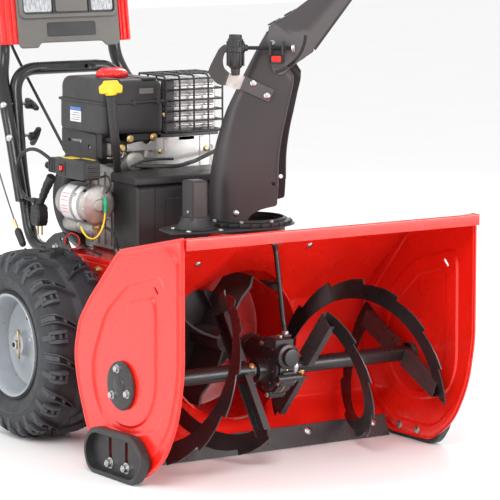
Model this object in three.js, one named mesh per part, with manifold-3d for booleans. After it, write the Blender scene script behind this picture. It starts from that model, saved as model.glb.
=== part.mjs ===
// A two-stage walk-behind snow blower, in millimetres, +Z up.
// The auger mouth faces -Y and the operator stands at +Y, so the machine's right side is at -X.
// Every shape is laid out from the mouth's front edge (Y = 0), the centre plane (X = 0) and the
// ground (Z = 0). The last lines move the whole group so that its origin is the centre of its base.
import * as THREE from "three";
import { mergeVertices } from "three/addons/utils/BufferGeometryUtils.js";
import Module from "manifold-3d";

const wasm = await Module();
wasm.setup();

// ---- driving dimensions ------------------------------------------------------------------------

const GAP = 0.4; // clearance kept between two pieces that touch
const SHEET = 3; // thickness of the housing's sheet steel

const HALF_MOUTH = 357; // inside half width of the auger housing
const MOUTH_TOP = 518; // height of the mouth's upper edge
const LIP = 24; // height of the folded rail along that edge

const AUGER = { y: 233, z: 193, radius: 172, inner: 128, tube: 17, shaft: 12.7 };
const FLIGHT_PITCH = 367; // axial travel of a flight in one turn
const FLIGHT_START = 72; // distance of a flight's inner end from the centre plane
const FLIGHT_END = 342; // distance of its outer end
const RIGHT_PHASE = 128; // angle, from the front over the top, where the right flights start
const LEFT_PHASE = 52; // the same for the left flights

const IMPELLER = { z: 225, radius: 156, front: 412, back: 526 };
const DRUM = { radius: 166, wall: 3, back: 545 };
const OPENING_RADIUS = 162; // round opening in the housing's back wall

const CHUTE = { x: 60, y: 425, base: 482.3, radius: 77, turn: 50, half: 72 };
const DEFLECTOR_HINGE = { s: 64, z: 864 };

const FRAME = { half: 165, front: 548, back: 822, bottom: 130, top: 386, wall: 4 };
const WHEEL = { y: 717, z: 205, radius: 205, inner: 201, outer: 366, rim: 112 };
const AXLE_RADIUS = 9.5;

const CRANK = { z: 496, front: 668 };
const GEAR = { module: 6.331, axleTeeth: 20, pinionTeeth: 12 };
const FRICTION = { y: 700.5, z: 305, radius: 52 };

const STARTER = { x: -190, z: 507, radius: 44, front: 620, back: 790 };
const TANK = { x0: -167, x1: -11, y0: 640, y1: 840, z0: 655, z1: 772 };
const TUBE = 14.5; // radius of the handle tubes

// ---- finishes ----------------------------------------------------------------------------------

const finish = (color, roughness, metalness) => () =>
  new THREE.MeshStandardMaterial({ color, roughness, metalness });
const RED_PAINT = finish(0xd8161a, 0.35, 0.1);
const BLACK_PAINT = finish(0x1d1b1d, 0.4, 0.2);
const BLACK_PLASTIC = finish(0x232225, 0.5, 0);
const GREY_PLASTIC = finish(0x5d5b58, 0.55, 0);
const RED_PLASTIC = finish(0xd81e1e, 0.3, 0);
const YELLOW_PLASTIC = finish(0xf3d21b, 0.4, 0);
const STEEL = finish(0xa9abad, 0.35, 0.9);
const ALUMINIUM = finish(0xb9b4ac, 0.45, 0.8);
const TYRE_RUBBER = finish(0x26282b, 0.85, 0);
const RUBBER = finish(0x1a1a1b, 0.8, 0);
const RIM_PAINT = finish(0x9aa1a8, 0.4, 0.3);

// ---- shape helpers: every one returns a solid in the machine's own axes -------------------------

const AXES = { x: [1, 2, 0], y: [0, 2, 1], z: [0, 1, 2] };

function solid(geometry) {
  const bare = geometry.index ? geometry.toNonIndexed() : geometry.clone();
  bare.deleteAttribute("normal");
  bare.deleteAttribute("uv");
  const merged = mergeVertices(bare, 1e-3);
  const vertProperties = merged.attributes.position.array;
  const triVerts = new Uint32Array(merged.index.array);
  const made = new wasm.Manifold(new wasm.Mesh({ numProp: 3, vertProperties, triVerts }));
  if (made.volume() > 0) return made;
  for (let i = 0; i < triVerts.length; i += 3) {
    [triVerts[i], triVerts[i + 1]] = [triVerts[i + 1], triVerts[i]];
  }
  return new wasm.Manifold(new wasm.Mesh({ numProp: 3, vertProperties, triVerts }));
}

function geometryOf(body) {
  const mesh = body.getMesh();
  const geometry = new THREE.BufferGeometry();
  geometry.setAttribute("position", new THREE.BufferAttribute(new Float32Array(mesh.vertProperties), 3));
  geometry.setIndex(new THREE.BufferAttribute(new Uint32Array(mesh.triVerts), 1));
  return geometry;
}

const join = (...bodies) => bodies.flat().reduce((a, b) => a.add(b));
const cut = (body, ...tools) => tools.flat().reduce((a, b) => a.subtract(b), body);
const both = (make) => [-1, 1].map(make);

// Turns a shape drawn in (u, v) and extruded along w so that w runs along the named axis.
function place(geometry, axis, from, length) {
  const basis = new THREE.Matrix4();
  const [X, Y, Z] = [new THREE.Vector3(1, 0, 0), new THREE.Vector3(0, 1, 0), new THREE.Vector3(0, 0, 1)];
  if (axis === "x") basis.makeBasis(Y, Z, X).setPosition(from, 0, 0);
  if (axis === "y") basis.makeBasis(X, Z, Y.clone().negate()).setPosition(0, from + length, 0);
  if (axis === "z") basis.makeBasis(X, Y, Z).setPosition(0, 0, from);
  return geometry.applyMatrix4(basis);
}

// An outline extruded along an axis. Its points are (y, z), (x, z) or (x, y) for axis x, y or z.
function prism(axis, points, from, to) {
  const shape = new THREE.Shape(points.map(([u, v]) => new THREE.Vector2(u, v)));
  const geometry = new THREE.ExtrudeGeometry(shape, { depth: to - from, bevelEnabled: false });
  return solid(place(geometry, axis, from, to - from));
}

// Points given as [u, v, radius]: each corner with a radius becomes an arc-like curve.
function rounded(points, steps = 2) {
  const result = [];
  points.forEach(([u, v, radius = 0], i) => {
    const corner = new THREE.Vector2(u, v);
    if (!radius) {
      result.push([u, v]);
      return;
    }
    const before = new THREE.Vector2(...points.at(i - 1).slice(0, 2)).sub(corner);
    const after = new THREE.Vector2(...points[(i + 1) % points.length].slice(0, 2)).sub(corner);
    const reach = Math.min(radius, 0.48 * before.length(), 0.48 * after.length());
    const start = corner.clone().addScaledVector(before.normalize(), reach);
    const end = corner.clone().addScaledVector(after.normalize(), reach);
    const curve = new THREE.QuadraticBezierCurve(start, corner, end);
    curve.getPoints(steps).forEach((p) => result.push([p.x, p.y]));
  });
  return result;
}

function box(x0, x1, y0, y1, z0, z1) {
  const geometry = new THREE.BoxGeometry(x1 - x0, y1 - y0, z1 - z0);
  return solid(geometry.translate((x0 + x1) / 2, (y0 + y1) / 2, (z0 + z1) / 2));
}

// A round bar or cone along an axis; centre holds the two other coordinates in x, y, z order.
function rod(axis, radius, from, to, centre, { sides = 14, endRadius = radius } = {}) {
  const geometry = new THREE.CylinderGeometry(endRadius, radius, to - from, sides);
  if (axis === "x") geometry.rotateZ(-Math.PI / 2);
  if (axis === "z") geometry.rotateX(Math.PI / 2);
  const spot = axis === "x" ? [0, ...centre] : axis === "y" ? [centre[0], 0, centre[1]] : [...centre, 0];
  spot[AXES[axis][2]] = (from + to) / 2;
  return solid(geometry.translate(...spot));
}

function pipe(axis, outer, inner, from, to, centre, sides = 20) {
  const outside = rod(axis, outer, from, to, centre, { sides });
  return cut(outside, rod(axis, inner, from - 1, to + 1, centre, { sides }));
}

// A profile of [distance along the axis, radius] turned round an axis through the centre.
function turned(axis, profile, centre, sides = 16, phase = 0) {
  const points = profile.map(([along, radius]) => new THREE.Vector2(radius, along));
  const geometry = new THREE.LatheGeometry(points, sides, phase);
  if (axis === "x") geometry.rotateZ(-Math.PI / 2);
  if (axis === "z") geometry.rotateX(Math.PI / 2);
  const spot = axis === "x" ? [0, ...centre] : axis === "y" ? [centre[0], 0, centre[1]] : [...centre, 0];
  return solid(geometry.translate(...spot));
}

// A bar that runs through the points; the curve is smooth, or straight with bends of that radius.
function bar(points, radius, { sides = 10, steps = 24, bend = 0 } = {}) {
  const spots = points.map((p) => new THREE.Vector3(...p));
  let path = new THREE.CatmullRomCurve3(spots, false, "centripetal");
  if (bend) {
    path = new THREE.CurvePath();
    let last = spots[0];
    spots.slice(1, -1).forEach((corner, i) => {
      const before = spots[i].clone().sub(corner).setLength(bend).add(corner);
      const after = spots[i + 2].clone().sub(corner).setLength(bend).add(corner);
      path.add(new THREE.LineCurve3(last, before));
      path.add(new THREE.QuadraticBezierCurve3(before, corner, after));
      last = after;
    });
    path.add(new THREE.LineCurve3(last, spots.at(-1)));
  }
  const section = new THREE.Shape();
  for (let i = 0; i < sides; i += 1) {
    const angle = (2 * Math.PI * i) / sides;
    const spot = [radius * Math.cos(angle), radius * Math.sin(angle)];
    if (i) section.lineTo(...spot);
    else section.moveTo(...spot);
  }
  return solid(new THREE.ExtrudeGeometry(section, { steps, extrudePath: path, bevelEnabled: false }));
}

// A thick sheet between two grids of points with the same rows and columns.
function sheet(outer, inner) {
  const rows = outer.length;
  const columns = outer[0].length;
  const triangles = [];
  const quad = (a, b, c, d) => triangles.push(a, b, c, a, c, d);
  for (let i = 0; i < rows - 1; i += 1) {
    for (let j = 0; j < columns - 1; j += 1) {
      quad(outer[i][j], outer[i][j + 1], outer[i + 1][j + 1], outer[i + 1][j]);
      quad(inner[i][j], inner[i + 1][j], inner[i + 1][j + 1], inner[i][j + 1]);
    }
    quad(outer[i][0], outer[i + 1][0], inner[i + 1][0], inner[i][0]);
    const end = columns - 1;
    quad(outer[i][end], inner[i][end], inner[i + 1][end], outer[i + 1][end]);
  }
  for (let j = 0; j < columns - 1; j += 1) {
    const end = rows - 1;
    quad(outer[0][j], inner[0][j], inner[0][j + 1], outer[0][j + 1]);
    quad(outer[end][j], outer[end][j + 1], inner[end][j + 1], inner[end][j]);
  }
  const geometry = new THREE.BufferGeometry();
  geometry.setAttribute("position", new THREE.Float32BufferAttribute(triangles.flat(), 3));
  return solid(geometry);
}

// A toothed wheel's outline; one tooth is centred at the phase angle.
function gearOutline(teeth, pitchRadius, [u, v], phase) {
  const step = (2 * Math.PI) / teeth;
  const tooth = [[-0.27, -3.6], [-0.12, 2.6], [0.12, 2.6], [0.27, -3.6]];
  return Array.from({ length: teeth }, (_, i) =>
    tooth.map(([turn, height]) => {
      const angle = phase + step * (i + turn);
      const radius = pitchRadius + height;
      return [u + radius * Math.cos(angle), v + radius * Math.sin(angle)];
    }),
  ).flat();
}

function ellipsoid(rx, ry, rz, x, y, z, sides = 20) {
  const geometry = new THREE.SphereGeometry(1, sides, sides / 2).scale(rx, ry, rz);
  return solid(geometry.translate(x, y, z));
}

// Rotates a finished body about a line, in degrees.
function tilt(body, axis, degrees, [x, y, z]) {
  const geometry = geometryOf(body).translate(-x, -y, -z);
  geometry.applyMatrix4(new THREE.Matrix4().makeRotationAxis(axis, THREE.MathUtils.degToRad(degrees)));
  return solid(geometry.translate(x, y, z));
}

const machine = new THREE.Group();
const turret = new THREE.Group(); // the chute's own frame: discharge along -Y, centred on its ring
turret.position.set(CHUTE.x, CHUTE.y, 0);
turret.rotation.z = THREE.MathUtils.degToRad(CHUTE.turn);
machine.add(turret);

function add(name, body, material, group = machine) {
  const mesh = new THREE.Mesh(geometryOf(body), material());
  mesh.name = name;
  group.add(mesh);
}

// ---- auger housing -----------------------------------------------------------------------------

// The sheet's outer line from the mouth's upper edge, over the roof and down the back wall.
const SHELL_LINE = [
  [0, MOUTH_TOP], [251, 464], [371, 352], [412, 304], [433, 234], [420, 168], [385, 84], [339, 43],
  [316, 4],
];

function offsetLine(line, distance) {
  return line.map(([y, z], i) => {
    const [y0, z0] = line[Math.max(i - 1, 0)];
    const [y1, z1] = line[Math.min(i + 1, line.length - 1)];
    const length = Math.hypot(y1 - y0, z1 - z0);
    return [y + ((z1 - z0) / length) * distance, z - ((y1 - y0) / length) * distance];
  });
}

// Everything in front of the housing's outer face, grown a little: it trims what stands behind.
function housingSpace() {
  const line = offsetLine(SHELL_LINE, -GAP);
  return prism("x", [[-50, 560], ...line, [-50, 0]], -400, 400);
}

function augerHousing() {
  const inner = offsetLine(SHELL_LINE, SHEET).reverse();
  const roof = prism("x", [...SHELL_LINE, ...inner], -HALF_MOUTH, HALF_MOUTH);
  const rail = box(-HALF_MOUTH, HALF_MOUTH, -4, 0.5, MOUTH_TOP - LIP, MOUTH_TOP - 0.5);
  const opening = rod("y", OPENING_RADIUS, 250, 460, [0, IMPELLER.z], { sides: 32 });
  return cut(join(roof, rail), opening);
}

const PLATE_OUTLINE = rounded([
  [-4, 521, 4],
  [253, 468, 18],
  [374, 355, 24],
  [417, 304, 18],
  [438, 234, 28],
  [424, 166, 30],
  [388, 82, 24],
  [345, 30, 16],
  [300, 10, 12],
  [160, 12, 20],
  [80, 60, 44],
  [20, 150, 44],
  [-4, 250, 30],
]);

// The raised field in the side plate, a pentagon with round corners, and the lower field inside it.
const FIELD = rounded([
  [28, 468, 12], [82, 491, 14], [255, 447, 20], [348, 338, 24], [372, 234, 60], [312, 110, 60],
  [180, 74, 60], [60, 150, 50], [20, 260, 40],
]);
const INNER_FIELD = rounded([
  [78, 398, 14], [104, 428, 14], [227, 399, 20], [312, 290, 30], [334, 212, 50], [280, 124, 50],
  [170, 108, 50], [86, 170, 30],
]);

function sidePlate(side) {
  const at = (from, to) => (side < 0 ? [-to, -from] : [from, to]);
  const start = HALF_MOUTH + GAP;
  const plate = prism("x", PLATE_OUTLINE, ...at(start, start + SHEET));
  const field = prism("x", FIELD, ...at(start + 1, start + SHEET + 3));
  const inner = prism("x", INNER_FIELD, ...at(start + SHEET, start + SHEET + 5));
  const bore = rod("x", 22.5, ...at(start - 5, start + 20), [AUGER.y, AUGER.z]);
  return cut(join(plate, cut(field, inner)), bore);
}

function impellerDrum() {
  const centre = [0, IMPELLER.z];
  const chute = [CHUTE.x, CHUTE.y];
  const outside = join(
    rod("y", DRUM.radius, 300, DRUM.back, centre, { sides: 30 }),
    rod("z", CHUTE.radius + 1, 300, 469.5, chute, { sides: 20 }),
  );
  const inside = join(
    rod("y", DRUM.radius - DRUM.wall, 200, DRUM.back - DRUM.wall, centre, { sides: 30 }),
    rod("z", CHUTE.radius - 2, 300, 480, chute, { sides: 20 }),
  );
  const bore = rod("y", 10.2, 500, 560, centre);
  return cut(outside, inside, housingSpace(), bore);
}

add("auger_housing", augerHousing(), RED_PAINT);
add("side_plate_right", sidePlate(-1), RED_PAINT);
add("side_plate_left", sidePlate(1), RED_PAINT);
add("impeller_drum", impellerDrum(), RED_PAINT);

const scraper = prism("x", [[298, 1.5], [306, 1.5], [326, 38], [324, 43], [319, 43]], -350, 350);
add("scraper_bar", scraper, BLACK_PAINT);

function skidShoe(side) {
  const at = (from, to) => (side < 0 ? [-to, -from] : [from, to]);
  const outline = rounded([
    [158, 0, 26], [340, 0, 36], [362, 48, 34], [333, 96, 26], [164, 101, 28], [112, 57, 30],
  ]);
  const hollow = rounded([
    [163, 10, 22], [334, 10, 30], [351, 48, 28], [326, 86, 22], [168, 90, 22], [124, 56, 24],
  ]);
  const start = HALF_MOUTH + SHEET + 2 * GAP + 3.2;
  const shoe = prism("x", outline, ...at(start, 386));
  const dish = prism("x", hollow, ...at(start + 4, 400));
  return cut(shoe, dish);
}

add("skid_shoe_right", skidShoe(-1), BLACK_PLASTIC);
add("skid_shoe_left", skidShoe(1), BLACK_PLASTIC);

// The end bearing: a flange bolted on the side plate, a hub in its bore and three bolt heads.
function augerBearing(side) {
  const at = (from, to) => (side < 0 ? [-to, -from] : [from, to]);
  const face = HALF_MOUTH + SHEET + 5 + 2 * GAP;
  const centre = [AUGER.y, AUGER.z];
  const cap = rod("x", 50, ...at(face, face + 7), centre, { sides: 20 });
  const hub = rod("x", 22, ...at(HALF_MOUTH - 10, face + 1), centre);
  const bolts = [80, 200, 320].map((degrees) => {
    const angle = THREE.MathUtils.degToRad(degrees);
    const spot = [AUGER.y + 35 * Math.cos(angle), AUGER.z + 35 * Math.sin(angle)];
    return rod("x", 7, ...at(face + 6, face + 12), spot, { sides: 6 });
  });
  const bore = rod("x", AUGER.shaft + GAP, ...at(300, face + 2), centre);
  return cut(join(cap, hub, bolts), bore);
}

add("auger_bearing_right", augerBearing(-1), BLACK_PAINT);
add("auger_bearing_left", augerBearing(1), BLACK_PAINT);

// ---- auger gearbox, shaft and flights ----------------------------------------------------------

const WORM_GEAR_RADIUS = 22.3;
const WORM_RADIUS = 9.1;

function augerGearbox() {
  const centre = [AUGER.y, AUGER.z];
  const input = [0, IMPELLER.z];
  const outside = join(
    turned("x", [[-24, 0], [-24, 40], [-17, 56], [17, 56], [24, 40], [24, 0]], centre, 16),
    rod("x", 25, -48, 40, centre, { sides: 12 }),
    rod("y", 27, 170, 330, input, { sides: 12 }),
    rod("y", 19, 158, 171, input, { sides: 12 }),
    box(-20, 20, 190, 232, 236, 262),
    rod("x", 8, -30, 30, [AUGER.y - 62, AUGER.z - 12], { sides: 12 }),
    box(-14, 14, AUGER.y - 62, AUGER.y - 30, AUGER.z - 26, AUGER.z + 4),
  );
  const inside = join(
    rod("x", AUGER.shaft + GAP, -60, 60, centre),
    rod("x", WORM_GEAR_RADIUS + 3, -12, 12, centre, { sides: 12 }),
    rod("y", WORM_RADIUS + GAP, 172, 340, input, { sides: 12 }),
    rod("y", WORM_RADIUS + 4, 205, 262, input, { sides: 12 }),
  );
  return cut(outside, inside);
}

add("auger_gearbox", augerGearbox(), BLACK_PAINT);

const brace = join(
  bar([[2, 232, 459], [3, 226, 440], [12, 214, 300], [14, 206, 268]], 5.5, { sides: 8, steps: 8 }),
  box(-9, 13, 222, 240, 454, 459),
  rod("z", 9, 262.4, 269, [13, 206], { sides: 12 }),
);
add("gearbox_brace", brace, BLACK_PAINT);

const augerShaft = join(
  rod("x", AUGER.shaft, -364, 364, [AUGER.y, AUGER.z]),
  rod("x", WORM_GEAR_RADIUS, -9, 9, [AUGER.y, AUGER.z], { sides: 20 }),
);
add("auger_shaft", augerShaft, STEEL);

// One side's flights: a tube on the shaft, two saw-edged ribbons half a turn apart, and the
// channel arms that carry their ends.
function augerFlight(side, phase) {
  const thickness = 2.2;
  const turnDegrees = ((FLIGHT_END - FLIGHT_START) / FLIGHT_PITCH) * 360;
  const steps = 21;
  const rim = (i) => AUGER.radius - (i % 3 === 0 ? 7 : i % 3 === 1 ? 3.5 : 0);
  const spot = (x, degrees, radius) => {
    const angle = THREE.MathUtils.degToRad(degrees);
    return [side * x, AUGER.y - radius * Math.cos(angle), AUGER.z + radius * Math.sin(angle)];
  };
  const ribbon = (start) => {
    const grid = (shift) =>
      Array.from({ length: steps + 1 }, (_, i) => {
        const share = i / steps;
        const x = FLIGHT_START + share * (FLIGHT_END - FLIGHT_START) + shift;
        const degrees = start - share * turnDegrees;
        return [spot(x, degrees, AUGER.inner), spot(x, degrees, rim(i))];
      });
    return sheet(grid(thickness), grid(-thickness));
  };
  const arm = (x, degrees) => {
    const half = AUGER.inner + 14;
    const [low, high] = side < 0 ? [-x - 5, -x + 5] : [x - 5, x + 5];
    const blade = box(low, high, AUGER.y - half, AUGER.y + half, AUGER.z - 18, AUGER.z + 18);
    return tilt(blade, new THREE.Vector3(1, 0, 0), -degrees, [0, AUGER.y, AUGER.z]);
  };
  const [from, to] = side < 0 ? [-340, -54] : [54, 340];
  const tube = rod("x", AUGER.tube, from, to, [AUGER.y, AUGER.z]);
  const bore = rod("x", AUGER.shaft + GAP, -360, 360, [AUGER.y, AUGER.z]);
  const parts = [
    tube,
    ribbon(phase),
    ribbon(phase + 180),
    arm(FLIGHT_START + 4, phase - 3),
    arm(FLIGHT_END - 12, phase - turnDegrees + 8),
  ];
  return cut(join(parts), bore);
}

add("auger_flight_right", augerFlight(-1, RIGHT_PHASE), BLACK_PAINT);
add("auger_flight_left", augerFlight(1, LEFT_PHASE), BLACK_PAINT);

// ---- impeller ----------------------------------------------------------------------------------

function impeller() {
  const { z, radius, front, back } = IMPELLER;
  const hub = pipe("y", 24, 10, front, back, [0, z]);
  const blades = [0, 1, 2, 3].map((i) => {
    const blade = prism("y", rounded([
      [-3, 0], [3, 0], [3, 60], [26, 128, 30], [20, radius - 4], [14, radius - 4], [20, 128, 26],
      [-3, 62],
    ]), front, back);
    const moved = solid(geometryOf(blade).translate(0, 0, z));
    return tilt(moved, new THREE.Vector3(0, 1, 0), 20 + 90 * i, [0, 0, z]);
  });
  const plate = rod("y", 96, back - 4, back, [0, z], { sides: 18 });
  const bore = rod("y", 10, front - 5, back + 5, [0, z]);
  return cut(join(hub, blades, plate), bore);
}

add("impeller", impeller(), BLACK_PAINT);

const impellerShaft = join(
  rod("y", 8.7, 174, 603, [0, IMPELLER.z], { sides: 12 }),
  rod("y", WORM_RADIUS, 212, 254, [0, IMPELLER.z], { sides: 12 }),
);
add("impeller_shaft", impellerShaft, STEEL);

// A V-belt pulley: a disc with a groove, its hub and its bore.
function pulley(radius, bore, from, to, centre) {
  const middle = (from + to) / 2;
  const profile = [
    [from, bore], [from, radius + 5], [from + 2, radius + 5], [middle, radius - 5],
    [to - 2, radius + 5], [to, radius + 5], [to, bore], [from, bore],
  ];
  return turned("y", profile, centre, 14);
}

const BELT = { large: 72, small: 34, from: 583, to: 597 };
add("impeller_pulley", pulley(BELT.large, 9.1, BELT.from, BELT.to, [0, IMPELLER.z]), STEEL);

const crankshaft = join(
  rod("y", 12, 579, CRANK.front + 18, [0, CRANK.z], { sides: 12 }),
  pulley(BELT.small, 11, BELT.from, BELT.to, [0, CRANK.z]),
  pulley(28, 11, 612, 626, [0, CRANK.z]),
);
add("engine_pulley", crankshaft, STEEL);

// The belt runs in the grooves: a loop with two straight runs between two arcs.
function augerBelt() {
  const distance = CRANK.z - IMPELLER.z;
  const lean = Math.asin((BELT.large - BELT.small) / distance);
  const loop = (grow) => {
    const arc = (radius, z, start, end) =>
      Array.from({ length: 13 }, (_, i) => {
        const angle = start + ((end - start) * i) / 12;
        return [(radius + grow) * Math.cos(angle), z + (radius + grow) * Math.sin(angle)];
      });
    const top = arc(BELT.small, CRANK.z, lean, Math.PI - lean);
    const bottom = arc(BELT.large, IMPELLER.z, Math.PI - lean, 2 * Math.PI + lean);
    return [...top, ...bottom];
  };
  const middle = (BELT.from + BELT.to) / 2;
  const outside = prism("y", loop(4.6), middle - 1.2, middle + 1.2);
  return cut(outside, prism("y", loop(0.4), middle - 5, middle + 5));
}

add("auger_belt", augerBelt(), RUBBER);

// ---- chute -------------------------------------------------------------------------------------

function chuteBase() {
  const ring = [CHUTE.x, CHUTE.y];
  const outline = rounded([
    [-168, 356, 14], [-60, 330, 20], [60, 322, 60], [165, 370, 60], [165, 480, 60], [60, 528, 60],
    [-60, 500, 30], [-150, 446, 14],
  ]);
  const plate = prism("z", outline, 470, 474);
  const collar = rod("z", CHUTE.radius + 5, 458, 474, ring, { sides: 20 });
  const hole = rod("z", CHUTE.radius - 2, 450, 480, ring, { sides: 20 });
  const seat = rod("z", CHUTE.radius + 1.4, 440, 469.8, ring, { sides: 20 });
  return cut(join(plate, collar), hole, seat, housingSpace());
}

add("chute_base", chuteBase(), BLACK_PLASTIC);

const CHUTE_MOTOR = [-88, 396];
const chuteMotor = join(
  turned("z", [[474.4, 0], [474.4, 42], [478, 42], [497, 27], [497, 0]], CHUTE_MOTOR, 18),
  prism("z", rounded([[-109, 375, 5], [-67, 375, 5], [-67, 417, 5], [-109, 417, 5]]), 490, 576),
);
add("chute_motor", chuteMotor, BLACK_PLASTIC);

function chuteRingGear() {
  const outline = gearOutline(26, 96, [0, 0], 0);
  const ring = prism("z", outline, 474.8, 481.8);
  return cut(ring, rod("z", CHUTE.radius - 2, 470, 490, [0, 0], { sides: 20 }));
}

add("chute_ring_gear", chuteRingGear(), BLACK_PLASTIC, turret);

// A U-shaped duct: at each level its back and front are given as [distance along the discharge
// direction, height], with the radius of the U's back corners.
function duct(levels, half, wall) {
  const section = (back, front, radius, inset) => {
    const side = half - inset;
    const start = back[0] + inset;
    const corner = Math.max(radius - inset, 2);
    const height = (s) => back[1] + ((front[1] - back[1]) * (s - back[0])) / (front[0] - back[0]);
    const points = [[-side, front[0]]];
    for (let i = 0; i <= 4; i += 1) {
      const angle = (Math.PI / 2) * (i / 4);
      points.push([-side + corner * (1 - Math.cos(angle)), start + corner * (1 - Math.sin(angle))]);
    }
    const mirror = points.map(([x, s]) => [-x, s]).reverse();
    return [...points, ...mirror].map(([x, s]) => [x, -s, height(s)]);
  };
  const grid = (inset) => levels.map(([back, front, radius]) => section(back, front, radius, inset));
  return sheet(grid(0), grid(wall));
}

const CHUTE_LEVELS = [
  [[-77, CHUTE.base], [77, CHUTE.base], 66],
  [[-78, 552], [76, 560], 64],
  [[-70, 613], [77, 617], 56],
  [[-58, 660], [84, 670], 48],
  [[-43, 705], [93, 712], 40],
  [[-28, 740], [101, 750], 34],
  [[22, 837], [107, 776], 22],
  [[50, 886], [108, 796], 12],
];

function chute() {
  const shell = duct(CHUTE_LEVELS, CHUTE.half + 3, 3);
  const mouth = prism("x", [[-6, 470], [-24, 506], [-60, 520], [-120, 524], [-120, 470]], -90, 90);
  const pins = both((side) => {
    const [from, to] = side < 0 ? [-80, -73] : [73, 80];
    return rod("x", 4, from, to, [-DEFLECTOR_HINGE.s, DEFLECTOR_HINGE.z], { sides: 12 });
  });
  return join(cut(shell, mouth), pins);
}

add("chute", chute(), BLACK_PAINT, turret);

const DEFLECTOR_LEVELS = [
  [[57, 901], [140, 838], 12],
  [[100, 926], [182, 896], 12],
  [[146, 960], [223, 953], 12],
  [[196, 990], [252, 998], 12],
];

// The clip that the deflector's screw passes through: a plate with two slotted ears.
function deflectorClip() {
  const plate = box(-84, -79, -90, -60, 822, 857);
  const ears = [60, 86].map((s) => box(-103, -81.5, -s - 4, -s, 822, 868));
  const slot = box(-99, -85, -120, -30, 842, 900);
  return cut(join(plate, ears), slot);
}

function deflector() {
  const shell = duct(DEFLECTOR_LEVELS, 79, 2.6);
  const lobe = rounded([
    [-57, 901], [-140, 838, 10], [-101, 812, 20], [-86, 795, 12], [-66, 800, 12], [-52, 860, 20],
  ]);
  const cheeks = both((side) => (side < 0 ? prism("x", lobe, -79, -76.4) : prism("x", lobe, 76.4, 79)));
  const bore = rod("x", 4.4, -90, 90, [-DEFLECTOR_HINGE.s, DEFLECTOR_HINGE.z], { sides: 12 });
  return join(cut(join(shell, cheeks), bore), deflectorClip());
}

add("deflector", deflector(), BLACK_PAINT, turret);

const SCREW = { x: -92, z: 854 };

// The deflector's drive: a gear head on a hooked, twisted bracket bolted to the chute's side.
function deflectorMotor() {
  const plate = prism("x", [[-6, 796], [-70, 765], [-58, 738], [5, 766]], -80, -75.6);
  const arm = sheet(
    [
      [[-75.6, -6, 796], [-75.6, 5, 766]], [[-84, 8, 798], [-86, 18, 770]],
      [[-92, 26, 803], [-92, 34, 776]],
    ],
    [[[-80, -6, 796], [-80, 5, 766]], [[-89, 8, 798], [-91, 18, 770]], [[-97, 26, 803], [-97, 34, 776]]],
  );
  const hookLine = rounded([
    [24, 800], [33, 775], [52, 778, 8], [68, 800, 10], [65, 816, 10], [50, 850, 14], [38, 862], [20, 860],
    [20, 846], [34, 844], [39, 828, 10], [36, 811, 8],
  ]);
  const hook = prism("x", hookLine, -97, -92);
  const head = join(
    rod("z", 15, 838, 882, [SCREW.x, 12], { sides: 12 }),
    rod("z", 19, 846, 856, [SCREW.x, 12], { sides: 12 }),
    rod("y", 11, -8, 20, [SCREW.x, SCREW.z], { sides: 10 }),
    rod("z", 9, 796, 839, [SCREW.x, 12], { sides: 8 }),
  );
  const bore = rod("y", 5.2, -20, 12, [SCREW.x, SCREW.z], { sides: 12 });
  return cut(join(plate, arm, hook, head), bore);
}

add("deflector_motor", deflectorMotor(), BLACK_PAINT, turret);

const deflectorScrew = join(
  rod("y", 4.4, -108, 11, [SCREW.x, SCREW.z], { sides: 12 }),
  rod("y", 9, -112, -106, [SCREW.x, SCREW.z], { sides: 12 }),
);
add("deflector_screw", deflectorScrew, STEEL, turret);

// ---- tractor frame and drive -------------------------------------------------------------------

function tractorFrame() {
  const { half, front, back, bottom, top, wall } = FRAME;
  const outside = box(-half, half, front, back, bottom, top);
  const inside = box(-half + wall, half - wall, front + wall, back - wall, bottom + wall, top - wall);
  const beltWell = box(-half + 20, half - 20, front + wall, 636, top - 20, top + 20);
  const bearingPlate = box(-half + 2, half - 2, 631, 635, 250, 340);
  const holes = [
    rod("y", 11, front - 5, front + 10, [0, IMPELLER.z]),
    rod("y", 8.5, 620, 640, [0, FRICTION.z]),
    rod("x", AXLE_RADIUS + GAP, -half - 5, half + 5, [WHEEL.y, WHEEL.z]),
    rod("x", 8.5, -half - 5, half + 5, [FRICTION.y, FRICTION.z]),
  ];
  return cut(join(cut(outside, inside, beltWell), bearingPlate), holes);
}

add("tractor_frame", tractorFrame(), RED_PAINT);

const GEAR_LINE = Math.atan2(FRICTION.z - WHEEL.z, FRICTION.y - WHEEL.y);
const pinionPhase = GEAR_LINE + Math.PI + Math.PI / GEAR.pinionTeeth;
const pitchCircle = (teeth) => (GEAR.module * teeth) / 2;
const axleGearLine = gearOutline(
  GEAR.axleTeeth, pitchCircle(GEAR.axleTeeth), [WHEEL.y, WHEEL.z], GEAR_LINE,
);
const pinionLine = gearOutline(
  GEAR.pinionTeeth, pitchCircle(GEAR.pinionTeeth), [FRICTION.y, FRICTION.z], pinionPhase,
);

const axle = join(
  rod("x", AXLE_RADIUS, -350, 350, [WHEEL.y, WHEEL.z]),
  prism("x", axleGearLine, 108, 120),
);
add("axle", axle, STEEL);

const frictionWheel = join(
  rod("x", 8, -168, 168, [FRICTION.y, FRICTION.z], { sides: 12 }),
  rod("x", FRICTION.radius, -32, -20, [FRICTION.y, FRICTION.z], { sides: 16 }),
  rod("x", 22, -40, -12, [FRICTION.y, FRICTION.z], { sides: 12 }),
  prism("x", pinionLine, 106, 122),
);
add("friction_wheel", frictionWheel, RUBBER);

const frictionDisc = turned("y", [
  [612, 0], [612, 46], [615, 46], [619, 36], [623, 46], [626, 46], [626, 8], [640, 8], [640, 70],
  [648, 70], [648, 0],
], [0, FRICTION.z], 20);
add("friction_disc", frictionDisc, STEEL);

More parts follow.
